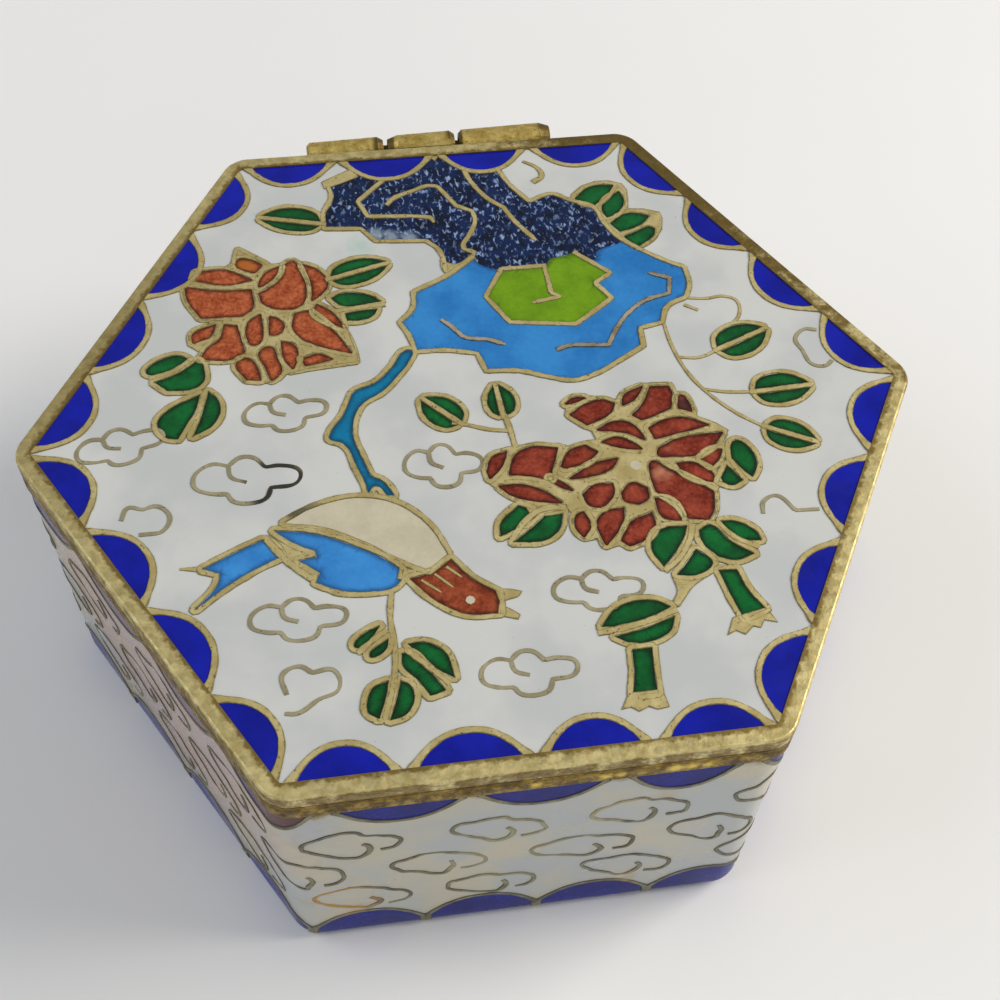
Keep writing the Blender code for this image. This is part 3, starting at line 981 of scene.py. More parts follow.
flower(
    "peony_rust",
    [(-21.5, 16.2), (-21.3, 17.5), (-18.7, 17.5), (-17.9, 18.2), (-17.5, 18.8), (-16.4, 18.5),
     (-15.2, 17.6), (-14.2, 17.5), (-13.7, 17.8), (-12.9, 17.9), (-12.3, 17.5), (-11.0, 16.8),
     (-10.1, 15.1), (-10.3, 14.0), (-11.1, 13.0), (-9.9, 11.7), (-9.2, 9.9), (-8.6, 7.0), (-8.6, 6.2),
     (-12.6, 5.9), (-14.6, 5.4), (-15.4, 4.8), (-16.2, 4.8), (-17.6, 5.1), (-18.3, 7.1), (-21.2, 7.6),
     (-20.9, 8.6), (-21.7, 9.3), (-21.7, 10.8), (-19.5, 11.7), (-18.9, 11.7), (-20.9, 11.9), (-21.9, 14.0),
     (-22.2, 15.8)],
    [
        [(-20.9, 17.2, 1), (-18.6, 17.2), (-16.5, 15.9, 1), (-18.4, 15.6), (-21.1, 16.4, 1)],
        [(-21.8, 15.6, 1), (-19.0, 14.9), (-16.6, 14.8, 1), (-16.6, 12.8), (-17.4, 12.1, 1),
         (-20.6, 12.2, 1), (-21.6, 14.2)],
        [(-17.4, 18.3), (-16.6, 18.2), (-15.6, 17.5, 1), (-16.2, 16.7, 1), (-17.6, 17.6)],
        lens((-15.9, 15.1), (-14.1, 17.1), 0.5, 0.35),
        [(-13.6, 17.3), (-13.0, 17.6), (-12.7, 17.0), (-12.2, 14.6), (-12.6, 12.8), (-13.6, 12.4),
         (-15.6, 13.2), (-15.9, 14.3, 1), (-14.4, 15.4), (-13.8, 16.4)],
        [(-12.2, 17.1, 1), (-11.2, 16.5), (-10.4, 15.0), (-10.6, 14.2), (-11.7, 13.1, 1), (-11.6, 14.8)],
        [(-21.3, 9.6, 1), (-21.3, 10.5), (-19.6, 11.3, 1), (-20.0, 10.2)],
        [(-18.8, 11.2, 1), (-17.9, 11.0, 1), (-17.4, 8.2, 1), (-18.6, 7.6), (-20.8, 7.9, 1), (-20.2, 8.9),
         (-19.2, 9.8)],
        [(-16.0, 12.0, 1), (-15.9, 10.3), (-16.2, 9.0), (-16.7, 8.9), (-17.1, 9.8), (-16.9, 11.3)],
        [(-15.2, 11.7, 1), (-14.5, 11.3), (-14.2, 10.4), (-14.7, 9.8), (-15.3, 9.8, 1)],
        [(-13.2, 11.8, 1), (-12.1, 12.0, 1), (-10.3, 9.6), (-9.1, 7.2, 1), (-10.8, 7.9), (-12.6, 8.9, 1),
         (-13.4, 10.2)],
        [(-11.4, 12.6, 1), (-10.2, 11.5), (-9.5, 10.0, 1), (-10.6, 10.7), (-11.6, 11.8)],
        [(-18.0, 7.1), (-17.2, 7.5), (-16.5, 6.4), (-16.3, 5.2, 1), (-17.3, 5.4, 1)],
        [(-16.2, 8.0), (-15.4, 8.5), (-14.9, 7.2), (-14.7, 5.8), (-15.4, 5.1, 1), (-15.8, 6.5)],
        [(-14.4, 8.9, 1), (-13.6, 8.6), (-13.3, 7.4), (-13.7, 6.1, 1), (-14.3, 7.2)],
        [(-12.9, 7.0, 1), (-11.6, 7.3), (-10.6, 6.7, 1), (-12.7, 6.3, 1)],
    ],
)
wire([(-17.9, 17.9), (-17.7, 18.9), (-17.5, 19.7, 1), (-16.7, 19.0), (-15.7, 18.2), (-15.0, 17.5)], 0.44)
pool("solder", [(-17.7, 18.5, 1), (-17.5, 19.6, 1), (-15.3, 17.7, 1), (-16.4, 18.3)])
wire([(-9.4, 10.2), (-8.7, 7.5), (-8.6, 6.1, 1), (-12.6, 5.8), (-14.0, 5.6)], 0.4)
print("left peony:", len(lid_cells["peony_rust"]), "petals")

# %% The right peony
flower(
    "peony_red",
    [(6.6, 0.1), (7.6, 1.0), (8.7, 0.8), (9.9, 0.5), (10.9, 0.1), (11.4, 0.7), (13.3, 1.5), (15.7, 1.3),
     (15.9, 0.3), (16.3, 0.2), (16.9, -0.8), (17.0, -2.3), (18.3, -3.1), (19.1, -3.9), (18.4, -5.0),
     (18.7, -5.6), (18.1, -6.7), (17.4, -7.3), (17.4, -8.7), (17.0, -9.5), (16.6, -11.2), (16.0, -12.3),
     (14.4, -12.0), (13.8, -12.3), (12.2, -11.7), (12.0, -12.2), (10.8, -13.5), (9.5, -14.0), (8.9, -13.4),
     (7.7, -13.7), (7.2, -12.7), (6.3, -12.8), (5.4, -11.7), (5.7, -10.2), (5.4, -9.5), (3.1, -9.1),
     (1.4, -8.4), (0.3, -7.1), (-0.2, -6.5), (-0.4, -5.5), (0.4, -4.0), (1.8, -3.5), (3.6, -3.4),
     (5.8, -3.6), (6.6, -4.0), (8.0, -3.6), (8.7, -3.6), (8.5, -2.8), (7.9, -2.4), (6.7, -1.0),
     (6.9, -0.3)],
    [
        [(7.0, 0.1, 1), (7.7, 0.6), (8.5, 0.5, 1), (7.8, 0.25)],
        [(7.2, -1.0, 1), (8.6, -0.1), (9.8, 0.15), (10.7, -0.3, 1), (10.3, -1.1), (8.3, -2.1, 1)],
        [(11.4, -0.5, 1), (11.7, 0.4), (13.2, 1.1, 1), (12.4, 0.0)],
        [(12.0, -1.6, 1), (13.0, -0.6), (13.9, 1.0, 1), (15.3, 0.9, 1), (15.4, 0.0), (15.0, -1.2, 1),
         (13.8, -1.7), (12.6, -2.1, 1)],
        [(15.7, -1.3, 1), (16.1, -0.1), (16.5, -0.8), (16.6, -1.7, 1)],
        [(9.0, -2.7, 1), (10.3, -2.1), (11.5, -2.3), (12.3, -3.5), (12.4, -4.0, 1), (11.2, -3.2)],
        [(9.2, -3.9, 1), (10.3, -3.6), (11.6, -4.4), (12.0, -4.9, 1), (10.6, -4.6)],
        [(13.0, -3.0, 1), (14.2, -2.4), (15.8, -2.3), (17.6, -3.2, 1), (15.6, -3.6), (13.3, -4.0, 1)],
        [(13.4, -5.0, 1), (15.0, -4.3), (18.5, -4.1, 1), (17.6, -5.1), (16.2, -5.9), (14.2, -5.8),
         (13.2, -5.6)],
        [(16.4, -6.4, 1), (17.3, -5.7), (18.1, -5.7, 1), (17.6, -6.6), (17.0, -7.1, 1)],
        [(14.5, -6.6, 1), (15.7, -6.7), (16.8, -7.6), (17.0, -8.6, 1), (15.8, -8.2), (14.9, -7.5)],
        [(12.6, -6.2), (13.6, -7.0), (15.4, -8.4), (16.6, -9.5, 1), (16.2, -11.2), (15.7, -11.9, 1),
         (14.3, -11.6, 1), (13.7, -10.2), (12.4, -8.9, 1), (12.3, -7.2)],
        [(1.7, -6.1, 1), (2.4, -4.4), (3.6, -3.8), (5.6, -4.1, 1), (5.2, -5.2), (4.8, -6.2), (4.7, -6.9, 1),
         (3.2, -6.4)],
        [(0.1, -5.6, 1), (0.6, -4.4), (1.7, -4.0, 1), (1.2, -5.2), (0.2, -6.3, 1)],
        [(0.8, -7.1, 1), (2.4, -7.2), (4.0, -8.0), (5.1, -9.1, 1), (3.2, -8.7), (1.6, -8.0)],
        [(5.7, -5.8, 1), (6.5, -4.5), (7.8, -4.1, 1), (8.6, -4.8, 1), (7.6, -5.6), (5.9, -6.0, 1)],
        [(6.2, -7.0, 1), (8.2, -5.9), (10.0, -5.6, 1), (9.4, -6.4), (7.4, -7.0)],
        [(6.9, -8.6, 1), (7.8, -7.9), (9.2, -7.9, 1), (9.1, -8.8), (8.1, -9.9, 1), (7.2, -9.6)],
        [(9.8, -8.8, 1), (10.7, -8.0), (11.7, -8.6, 1), (11.6, -9.5), (10.9, -9.9, 1), (9.9, -9.5)],
        [(12.2, -9.6, 1), (13.1, -9.9), (13.7, -11.1), (13.6, -11.8, 1), (12.4, -11.2)],
        [(6.6, -10.2, 1), (6.9, -11.4), (6.3, -12.3, 1), (5.9, -11.6), (6.1, -10.4)],
        [(7.6, -12.4, 1), (7.5, -11.2), (8.2, -10.4), (9.6, -10.2, 1), (9.3, -11.4), (8.2, -12.8),
         (7.8, -13.2, 1)],
        [(9.0, -13.0, 1), (10.0, -11.5), (11.6, -10.9, 1), (11.6, -12.0), (10.6, -13.1), (9.5, -13.5, 1)],
        lens((4.6, -6.8), (6.1, -8.1), 0.16, 0.16),
    ],
)
pool("pale_dot", [(10.85, -6.4), (11.3, -5.95), (11.75, -6.4), (11.3, -6.85)])
print("right peony:", len(lid_cells["peony_red"]), "petals")

# %% [markdown]
# ## Leaves and stems
#
# Round leaves are two half-moons of green with a mid-rib wire between them. The leaves that crowd round
# the flowers are bent to fit, cell by cell. Stems are bare wires, and two of them end in stalks of green
# glass with a jagged brass foot.

# %% Round leaves
for base, tip, left, right_side in (
    ((-10.3, 21.7), (-15.4, 23.0), 1.15, 1.55),
    ((-10.2, 15.3), (-5.3, 16.6), 1.35, 1.30),
    ((-1.3, -0.9), (-4.0, 1.9), 1.35, 1.30),
    ((2.0, -0.6), (1.8, 2.6), 0.95, 1.20),
    ((20.0, 4.2), (24.4, 6.0), 1.55, 1.50),
    ((21.9, -0.4), (26.6, -0.2), 1.55, 1.40),
    ((22.0, -3.9), (25.6, -5.8), 1.25, 1.35),
):
    leaf(base, tip, left, right_side)
print(len(lid_ribs), "round leaves")

# %% Leaves bent to fit
for half in (
    [(-10.2, 13.2, 1), (-9.5, 13.6), (-8.2, 13.6), (-6.8, 13.0), (-6.2, 12.4, 1), (-7.4, 12.25),
     (-9.4, 12.25)],
    [(-9.2, 11.4, 1), (-8.2, 11.55), (-6.6, 11.6, 1), (-7.0, 10.9), (-8.2, 10.5), (-9.1, 10.6, 1)],
    [(0.2, -11.6, 1), (0.4, -10.4), (1.9, -9.0, 1), (2.9, -9.5, 1), (1.8, -10.8)],
    [(1.1, -12.2, 1), (2.6, -11.1), (3.9, -10.0, 1), (5.1, -9.9, 1), (4.6, -11.5), (3.4, -12.3)],
    [(18.7, -6.6, 1), (19.0, -5.2), (19.4, -4.9), (20.4, -6.0), (20.5, -7.4), (19.9, -8.5, 1),
     (19.4, -7.8)],
    [(17.3, -8.6, 1), (18.2, -7.2, 1), (18.7, -8.0), (19.1, -8.7, 1), (18.3, -9.1)],
    [(11.0, -14.0), (11.6, -12.6), (12.6, -12.2, 1), (14.0, -12.3, 1), (13.6, -13.2), (12.4, -14.8),
     (11.6, -15.6, 1)],
    [(12.4, -16.4, 1), (13.3, -15.5), (14.2, -14.4, 1), (15.0, -15.2), (15.2, -15.7), (13.8, -16.6)],
    [(14.8, -12.8, 1), (15.7, -12.4), (16.9, -14.0), (18.4, -15.3, 1), (16.9, -15.7), (15.7, -15.2, 1),
     (14.8, -13.8)],
    [(16.6, -12.2, 1), (17.6, -12.3), (19.0, -13.4), (19.2, -14.2, 1), (17.9, -14.0), (17.1, -13.2)],
    [(6.2, -20.0, 1), (7.4, -18.7), (9.0, -18.2), (10.5, -18.4), (11.4, -19.0, 1), (9.6, -19.7),
     (7.6, -20.1)],
    [(7.0, -20.9, 1), (9.2, -20.5), (11.5, -19.8, 1), (11.0, -20.9), (9.4, -21.6), (8.0, -21.5)],
    [(-25.0, 6.9), (-24.2, 8.0), (-22.4, 8.4), (-21.7, 7.9, 1), (-23.2, 6.9)],
    [(-24.4, 5.9, 1), (-22.6, 6.6), (-21.0, 7.8, 1), (-20.6, 7.2, 1), (-20.6, 5.6), (-21.4, 4.9),
     (-23.4, 4.9, 1)],
    [(-20.9, 4.3, 1), (-23.4, 3.0), (-24.2, 1.9), (-23.6, 0.4), (-22.7, 0.1, 1), (-22.2, 1.1),
     (-21.4, 2.6)],
    [(-20.3, 4.5, 1), (-19.6, 3.6), (-19.5, 2.2), (-20.2, 1.0), (-21.6, 0.2, 1), (-21.0, 1.8)],
    [(-11.1, -19.4), (-10.2, -18.4), (-9.2, -18.0, 1), (-9.6, -18.6), (-10.8, -19.6)],
    [(-10.1, -20.4), (-8.7, -19.1, 1), (-8.9, -19.9), (-9.6, -20.4)],
    [(-7.4, -19.7, 1), (-6.2, -19.7), (-4.9, -20.7), (-4.5, -22.7, 1), (-5.7, -21.8), (-6.7, -20.6)],
    [(-7.9, -20.4, 1), (-7.4, -20.4), (-6.3, -21.8), (-5.2, -23.6, 1), (-6.3, -23.9, 1), (-7.0, -22.6),
     (-7.9, -21.4)],
    [(-10.6, -23.9), (-10.1, -22.8), (-9.0, -22.4, 1), (-9.3, -23.6), (-9.9, -25.2, 1), (-10.6, -24.6)],
    [(-8.2, -22.5, 1), (-7.6, -22.9), (-7.4, -24.0), (-8.1, -25.1), (-9.2, -25.4, 1), (-8.6, -23.9)],
    [(15.5, -16.4, 1), (16.8, -16.5, 1), (17.2, -18.2), (18.1, -20.0, 1), (16.4, -20.6, 1), (15.9, -18.6)],
    [(8.0, -22.1, 1), (9.4, -22.1, 1), (9.2, -24.0), (9.1, -25.6, 1), (7.4, -25.6, 1), (7.8, -24.0)],
):
    cell("leaf_green", half, 0.48)

# Leaves by the rock, soldered together as petals are.
flower(
    "leaf_green",
    [(11.0, 22.2), (11.3, 23.1), (12.3, 24.0), (13.6, 24.45), (14.8, 24.4), (15.9, 23.9), (16.2, 23.1),
     (16.1, 22.0), (15.9, 20.8), (17.2, 20.65), (18.5, 20.1), (18.6, 19.3), (18.3, 18.0), (17.6, 17.0),
     (16.4, 16.1), (15.6, 15.9), (14.4, 17.2), (13.6, 18.6), (13.1, 20.0), (13.0, 21.1), (12.2, 21.6)],
    [
        [(11.6, 22.5, 1), (12.8, 23.6), (14.0, 23.85), (15.0, 23.7, 1), (14.2, 22.6), (13.0, 21.6, 1),
         (12.1, 22.0)],
        [(13.7, 21.0), (14.2, 22.0), (15.4, 22.9, 1), (15.6, 22.1), (15.4, 21.2), (14.6, 20.3),
         (13.9, 20.0, 1)],
        [(14.1, 19.2, 1), (15.5, 20.15), (16.6, 20.05), (17.4, 19.7, 1), (16.6, 18.9), (14.7, 18.2, 1)],
        [(15.0, 17.5, 1), (16.2, 18.0), (17.2, 18.4), (17.6, 18.2, 1), (17.4, 17.5), (15.8, 16.3, 1)],
    ],
)
print(len(lid_cells["leaf_green"]), "cells of green")

# %% Stems, ribs and feet
for stem, width in (
    ([(-2.0, -0.7), (-1.0, -1.0), (0.8, -1.7), (2.3, -2.0)], 0.42),
    ([(2.1, -0.4), (2.3, -1.6), (2.5, -3.6)], 0.50),
    ([(-8.1, -15.3), (-8.4, -17.4), (-8.3, -20.0), (-8.6, -22.5)], 0.48),
    ([(16.3, 7.8), (16.4, 5.6), (17.0, 2.6), (18.0, 0.4), (20.0, -2.2), (22.2, -4.1)], 0.32),
    ([(16.8, 3.8), (18.4, 3.6), (20.2, 4.3)], 0.32),
    ([(17.9, 0.4), (19.6, -0.1), (22.1, -0.4)], 0.32),
    ([(18.4, 10.1), (20.4, 9.8), (21.8, 9.9), (22.8, 9.3), (22.6, 7.6), (21.9, 6.9)], 0.32),
    ([(18.4, 9.3), (19.4, 8.6)], 0.32),
):
    wire(stem, width)

for rib, width in (
    ([(1.0, -12.0), (2.3, -10.4), (3.5, -9.6), (5.4, -9.6)], 0.6),
    ([(5.9, -20.5), (9.0, -20.1), (11.8, -19.3)], 0.56),
    ([(11.6, -16.0), (13.0, -14.9), (14.2, -13.0), (14.4, -12.2)], 0.55),
    ([(16.3, -12.2), (17.2, -13.6), (18.9, -14.8)], 0.5),
    ([(18.6, -6.9), (19.2, -8.5)], 0.5),
    ([(-10.9, -20.0), (-9.6, -19.0), (-8.7, -18.4)], 0.5),
    ([(-7.6, -20.1), (-6.2, -21.6), (-4.9, -23.2)], 0.5),
    ([(-9.5, -25.3), (-8.6, -22.5)], 0.5),
    ([(-24.8, 6.3), (-22.8, 6.9), (-21.4, 8.0)], 0.5),
    ([(-10.0, 11.7), (-8.0, 11.9), (-5.9, 12.0)], 0.5),
):
    wire(rib, width, to=lid_ribs)
pool("solder", [
    (12.0, -16.6, 1), (14.6, -16.8, 1), (13.3, -17.6), (12.6, -18.4), (12.0, -19.1, 1), (11.5, -18.7, 1),
    (12.1, -17.8),
])
wire([(8.2, 24.9), (9.1, 25.6), (8.8, 26.7), (7.7, 27.6)], 0.62, tail=3.0)
pool("solder", [(2.4, -9.1, 1), (5.4, -9.4, 1), (5.3, -10.1, 1), (3.8, -10.2), (2.7, -10.0, 1)])

FEET = (
    [(15.6, -20.4), (14.9, -21.8), (15.6, -21.5), (16.2, -21.9), (16.9, -21.3), (17.4, -21.5),
     (17.8, -20.9), (18.7, -21.2), (18.2, -19.9)],
    [(7.1, -25.4), (6.4, -26.6), (7.1, -26.5), (7.6, -26.9), (8.3, -26.6), (8.9, -26.9), (9.7, -26.8),
     (9.5, -25.4)],
)
pool("solder", *([(*p, 1) for p in foot] for foot in FEET))
print(len(lid_wires), "wires and", len(lid_ribs), "ribs so far")

# %% [markdown]
# ## The twig and the bird
#
# A teal twig hangs from the lake down to a small bird in flight: sky blue tail and wing, cream back,
# rust head with an open beak. It is the plain garden bird of such boxes, in a handful of cells.

# %% Twig and bird
cell("twig_teal", [
    (-4.9, 6.9), (-6.0, 5.4), (-7.5, 3.9), (-9.2, 3.2), (-9.6, 2.4), (-10.2, 1.0), (-11.3, -0.6),
    (-11.4, -1.2), (-10.6, -1.6), (-10.1, -2.2), (-9.6, -4.0), (-9.1, -5.6), (-8.95, -6.6, 1), (-8.5, -6.0),
    (-8.2, -6.0), (-7.6, -6.9, 1), (-7.1, -7.0, 1), (-7.4, -6.2), (-7.9, -5.5), (-8.6, -5.0), (-8.8, -4.4),
    (-9.2, -3.0), (-9.6, -1.4), (-9.6, -0.4), (-9.3, 0.9), (-8.6, 2.0), (-7.0, 3.0), (-5.8, 4.3),
    (-4.6, 5.9), (-4.3, 6.9),
], 0.46)
cell("bird_blue", [
    (-16.9, -9.8, 1), (-19, -10.7), (-21.2, -11.8, 1), (-20.0, -12.3, 1), (-20.2, -13.2), (-21.8, -15.1, 1),
    (-19.8, -13.6), (-17.6, -12.3), (-15.6, -11.4, 1), (-16.1, -10.4),
], 0.48)
cell("bird_blue", [
    (-16.0, -9.1, 1), (-13.2, -9.7), (-10.4, -11.1), (-8.1, -12.7), (-7.2, -13.9), (-7.8, -14.9),
    (-9.6, -15.1), (-11.6, -14.8), (-13.3, -13.9, 1), (-13.0, -13.1, 1), (-14.4, -11.9, 1),
    (-13.1, -11.7, 1), (-13.2, -11.2, 1), (-14.6, -10.4),
], 0.50)
cell("bird_cream", [
    (-15.2, -8.5, 1), (-13.0, -7.4), (-9.8, -6.9), (-7.0, -7.8), (-4.9, -10.0), (-3.8, -12.6, 1),
    (-5.3, -13.8, 1), (-7.2, -12.6), (-9.6, -10.8), (-12.4, -9.2),
], 0.50)
cell("bird_rust", [
    (-6.7, -14.4, 1), (-5.0, -14.0), (-3.6, -13.1, 1), (-2.3, -14.9), (-0.6, -16.3, 1), (-0.7, -18.0, 1),
    (-3.0, -17.8), (-5.2, -16.3),
], 0.48)
pool("pale_dot", [(-3.0, -16.7), (-2.65, -16.35), (-2.3, -16.7), (-2.65, -17.05)])
for feather in (
    [(-5.9, -14.6), (-4.6, -15.8)],
    [(-4.9, -14.2), (-3.7, -15.5)],
    [(-4.0, -13.7), (-3.0, -14.7)],
):
    wire(feather, 0.24, tail=0.5)
pool(
    "solder",
    [(-0.8, -16.0, 1), (0.2, -16.1), (1.1, -16.4, 1), (0.8, -16.8), (0.0, -17.0, 1), (-0.6, -17.2, 1)],
    [(-0.7, -17.3, 1), (0.0, -17.7), (0.7, -18.3, 1), (0.5, -18.7, 1), (-0.3, -18.4), (-0.9, -18.2, 1)],
)
wire([(-21.2, -11.8), (-22.8, -11.6)], 0.46, tail=1.2)
wire([(-16.6, -9.8), (-15.2, -11.9), (-13.6, -13.6)], 0.60)
wire([(-15.1, -10.7), (-13.4, -11.5)], 0.36, tail=0.6)
pool(
    "solder",
    [(-16.6, -9.4, 1), (-14.7, -10.7), (-13.2, -11.4, 1), (-14.5, -11.8, 1), (-14.2, -13.3),
     (-13.4, -13.4, 1), (-13.5, -13.0), (-14.6, -12.2), (-15.5, -11.3, 1), (-16.2, -10.4)],
    [(-7.3, -13.3, 1), (-6.0, -13.8, 1), (-6.9, -14.6, 1), (-7.6, -14.3, 1)],
)
print("bird and twig bring it to", sum(map(len, lid_cells.values())), "cells")

# %% [markdown]
# ## Clouds
#
# The ground is strewn with small clouds, each one wire bent into four lobes, with a curl that runs in
# from the notch between the first two. Some are left half open where they meet a border.

# %% Clouds on the lid
CLOUD = (
    (-0.34, 0.68, 1), (-0.12, 1.0), (0.14, 0.94), (0.34, 0.48, 1), (0.62, 0.50), (0.97, 0.20),
    (0.90, -0.30), (0.42, -0.42, 1), (0.32, -0.85), (0.02, -1.0), (-0.28, -0.85), (-0.38, -0.52, 1),
    (-0.68, -0.44), (-0.97, -0.12), (-0.96, 0.42), (-0.64, 0.82),
)
CURL = ((-0.34, 0.68), (-0.30, 0.19), (-0.02, -0.09))


def cloud(centre, half_width, half_height, tilt, width=0.36):
    """The cloud's outline and its curl, stretched to size and tilted by degrees."""
    turn = Matrix.Rotation(math.radians(tilt), 2)
    for shape, closed in ((CLOUD, True), (CURL, False)):
        points = []
        for x, y, *sharp in shape:
            spot = Vector(centre) + turn @ Vector((x * half_width, y * half_height))
            points.append((*spot, *sharp))
        wire(points, width, to=lid_cloud_lines, closed=closed)


for centre, half_width, half_height, tilt in (
    ((-26.9, -0.1), 3.3, 1.7, 14),
    ((-14.5, 1.7), 3.2, 1.75, 6),
    ((-17.7, -4.3), 4.0, 2.15, 0),
    ((-3.1, -4.7), 2.95, 2.0, 0),
    ((-14.7, -16.8), 3.4, 1.7, 0),
    ((0.7, -23.0), 3.4, 1.75, 2),
    ((6.6, -17.0), 3.3, 1.65, 0),
):
    cloud(centre, half_width, half_height, tilt)
for open_cloud in (
    [(-26.9, -6.9), (-26.4, -5.8), (-25.4, -6.1, 1), (-24.3, -5.9), (-23.4, -7.0), (-24.0, -8.2),
     (-25.0, -8.3), (-25.6, -8.3)],
    [(-15.9, -22.6), (-16.1, -21.0), (-14.9, -20.5), (-14.1, -21.1, 1), (-12.6, -21.1), (-12.4, -22.6),
     (-13.8, -23.2, 1), (-15.3, -24.1), (-16.1, -24.0)],
    [(19.9, -11.9), (20.2, -10.8), (21.3, -10.4), (22.4, -11.9, 1), (24.2, -12.0)],
    [(28.6, 5.4), (27.6, 5.6), (26.6, 4.6), (26.9, 3.4, 1), (27.3, 1.9), (28.4, 1.6), (29.0, 2.1)],
):
    wire(open_cloud, 0.34, to=lid_cloud_lines)
print(len(lid_wires), "wires and", len(lid_cloud_lines), "cloud wires on the lid")

# %% [markdown]
# ## Sweeping the wires and pouring the glass
#
# Now the lists become pieces: one of wire, one of cloud wire, and one for each colour of glass, so that
# a colour can be changed without touching the drawing. Each glass has a level of its own, a few
# hundredths of a millimetre apart, so that no two surfaces coincide where one was poured over another.

# %% The picture's pieces
FINISHES = {
    "lake": (lake_blue, "sky_enamel", 0.008),
    "rock_speckled": (speckled, "speckled_enamel", 0.011),
    "twig_teal": (twig_blue, "sky_enamel", 0.0125),
    "peony_rust": (peony_rust, "rust_enamel", 0.013),
    "peony_red": (peony_red, "rust_enamel", 0.0135),
    "bird_blue": (wing_blue, "sky_enamel", 0.014),
    "bird_cream": (bird_cream, "cream_enamel", 0.0145),
    "bird_rust": (head_rust, "rust_enamel", 0.015),
    "leaf_green": (leaf_green, "green_enamel", 0.016),
    "moss": (moss_green, "lime_enamel", 0.021),
    "solder": (solder, "wire_brass", 0.072),
    "pale_dot": (bird_cream, "cream_enamel", 0.078),
}
GLASS_DEPTH = 0.25
picture = []
for glass, lines in lid_cells.items():
    finish, slot, level = FINISHES[glass]
    piece = apply_tree(
        curve_object(glass + "_lines", lines, 0.0), glass_tree, "lid_" + glass,
        Depth=GLASS_DEPTH * MM, Level=(GROUND + level) * MM, Enamel=finish, Apart=int(glass != "solder"),
        Fineness=2 if "peony" in glass else 1,
    )
    picture.append((piece, slot))
for name, lines, finish, level, flooding in (
    ("lid_picture_wires", lid_wires, picture_wire, GROUND, 0.0),
    ("lid_rib_wires", lid_ribs, picture_wire, GROUND + 0.014, 0.0),
    ("lid_ripple_wires", lid_ripples, lake_wire, GROUND, 0.0),
    ("lid_cloud_wires", lid_cloud_lines, cloud_wire, GROUND, 0.05 * MM),
):
    piece = apply_tree(
        curve_object(name + "_lines", lines, level), wire_tree, name,
        Brass=finish, Seed=len(lines), Step=STEP * MM, Unevenness=0.4, Flooding=flooding,
    )
    picture.append((piece, "wire_brass"))
picture.append((lid_border, "royal_blue_enamel"))
for piece, slot in picture:
    heights = [v.co.z / MM for v in piece.data.vertices]
    print(f"{piece.name}: {len(piece.data.polygons)} faces, z {min(heights):.3f} to {max(heights):.3f} mm")

# %% [markdown]
# ## Hexagonal solids
#
# The plate, the cup and the two rims are all one outline with a section run round it: a hexagon with
# rounded corners. A loft through rings of points gives the same number of points to each ring, so the
# faces between them are clean quads, and the corner's radius can change from ring to ring.

# %% Lofts round the hexagon
ARC_STEPS = 8
SHARP_EDGE = math.radians(40)


def hexagon_ring(to_flat, corner_radius, z):
    """Points round a hexagon with rounded corners, in millimetres, anticlockwise."""
    points = []
    reach = (to_flat - corner_radius) / math.cos(math.pi / 6)
    for k in range(6):
        corner = math.radians(60 * k)
        centre = Vector((reach * math.cos(corner), reach * math.sin(corner), z))
        for step in range(ARC_STEPS + 1):
            angle = corner + math.radians(-30 + 60 * step / ARC_STEPS)
            points.append(centre + corner_radius * Vector((math.cos(angle), math.sin(angle), 0)))
    return points


def quarter_arc(radius, steps):
    """Pairs (how far in, how far up) down a quarter circle, from upright to level."""
    turns = [math.pi / 2 * k / steps for k in range(steps + 1)]
    return [(radius * (1 - math.cos(a)), radius * (1 - math.sin(a))) for a in turns]


def loft(name, rings, finish, closed=True):
    """A closed solid through rings of points: round again to the first ring, or capped at both ends."""
    bm = bmesh.new()
    rows = [[bm.verts.new(p * MM) for p in ring] for ring in rings]
    for low_row, high_row in zip(rows, rows[1:] + rows[:1] if closed else rows[1:]):
        for k in range(len(low_row)):
            after = (k + 1) % len(low_row)
            bm.faces.new((low_row[k], low_row[after], high_row[after], high_row[k]))
    if not closed:
        bm.faces.new(rows[0])
        bm.faces.new(rows[-1])
    bmesh.ops.recalc_face_normals(bm, faces=bm.faces)
    mesh = bpy.data.meshes.new(name)
    bm.to_mesh(mesh)
    bm.free()
    mesh.shade_smooth()
    mesh.set_sharp_from_angle(angle=SHARP_EDGE)
    mesh.materials.append(finish)
    print(f"{name}: {len(rings)} rings, {len(mesh.polygons)} faces")
    return placed(name, mesh)


# %% [markdown]
# ## The lid's plate
#
# Copper sheet enamelled on both sides: white above, and below a plain blue counter-enamel, which every
# enameller fires on the back so that the sheet doesn't warp. The real plate is pressed tight into its
# rim, so here it reaches the brass.

# %% Lid plate
PLATE_BOTTOM = plate_low.z / MM
PLATE_MIDDLE = PLATE_BOTTOM + 0.5
TUCKED = INNER_FLAT + 0.05
plate_rings = [hexagon_ring(TUCKED, 0.5, z) for z in (PLATE_BOTTOM, PLATE_MIDDLE, GROUND)]
lid_ground = loft("lid_white_ground", plate_rings[1:], lid_white, closed=False)
lid_back = loft("lid_counter_enamel", plate_rings[:2], inner_blue, closed=False)
picture += [(lid_ground, "white_enamel"), (lid_back, "inner_enamel")]

# %% [markdown]
# ## The cup
#
# The cup's outside is white enamel that turns under a rounded foot; its inside and its underside are
# blue counter-enamel, a hair behind the foot so that the box stands on the foot's ring.

# %% Cup
FOOT = 1.5
CORNER = 2.6
WALL = 2.0
FLOOR = 2.0
FILLET = 0.8
SKIN = 0.9
WALL_TOP = base_rim_low.z / MM
FOOT_FLAT = 27.6


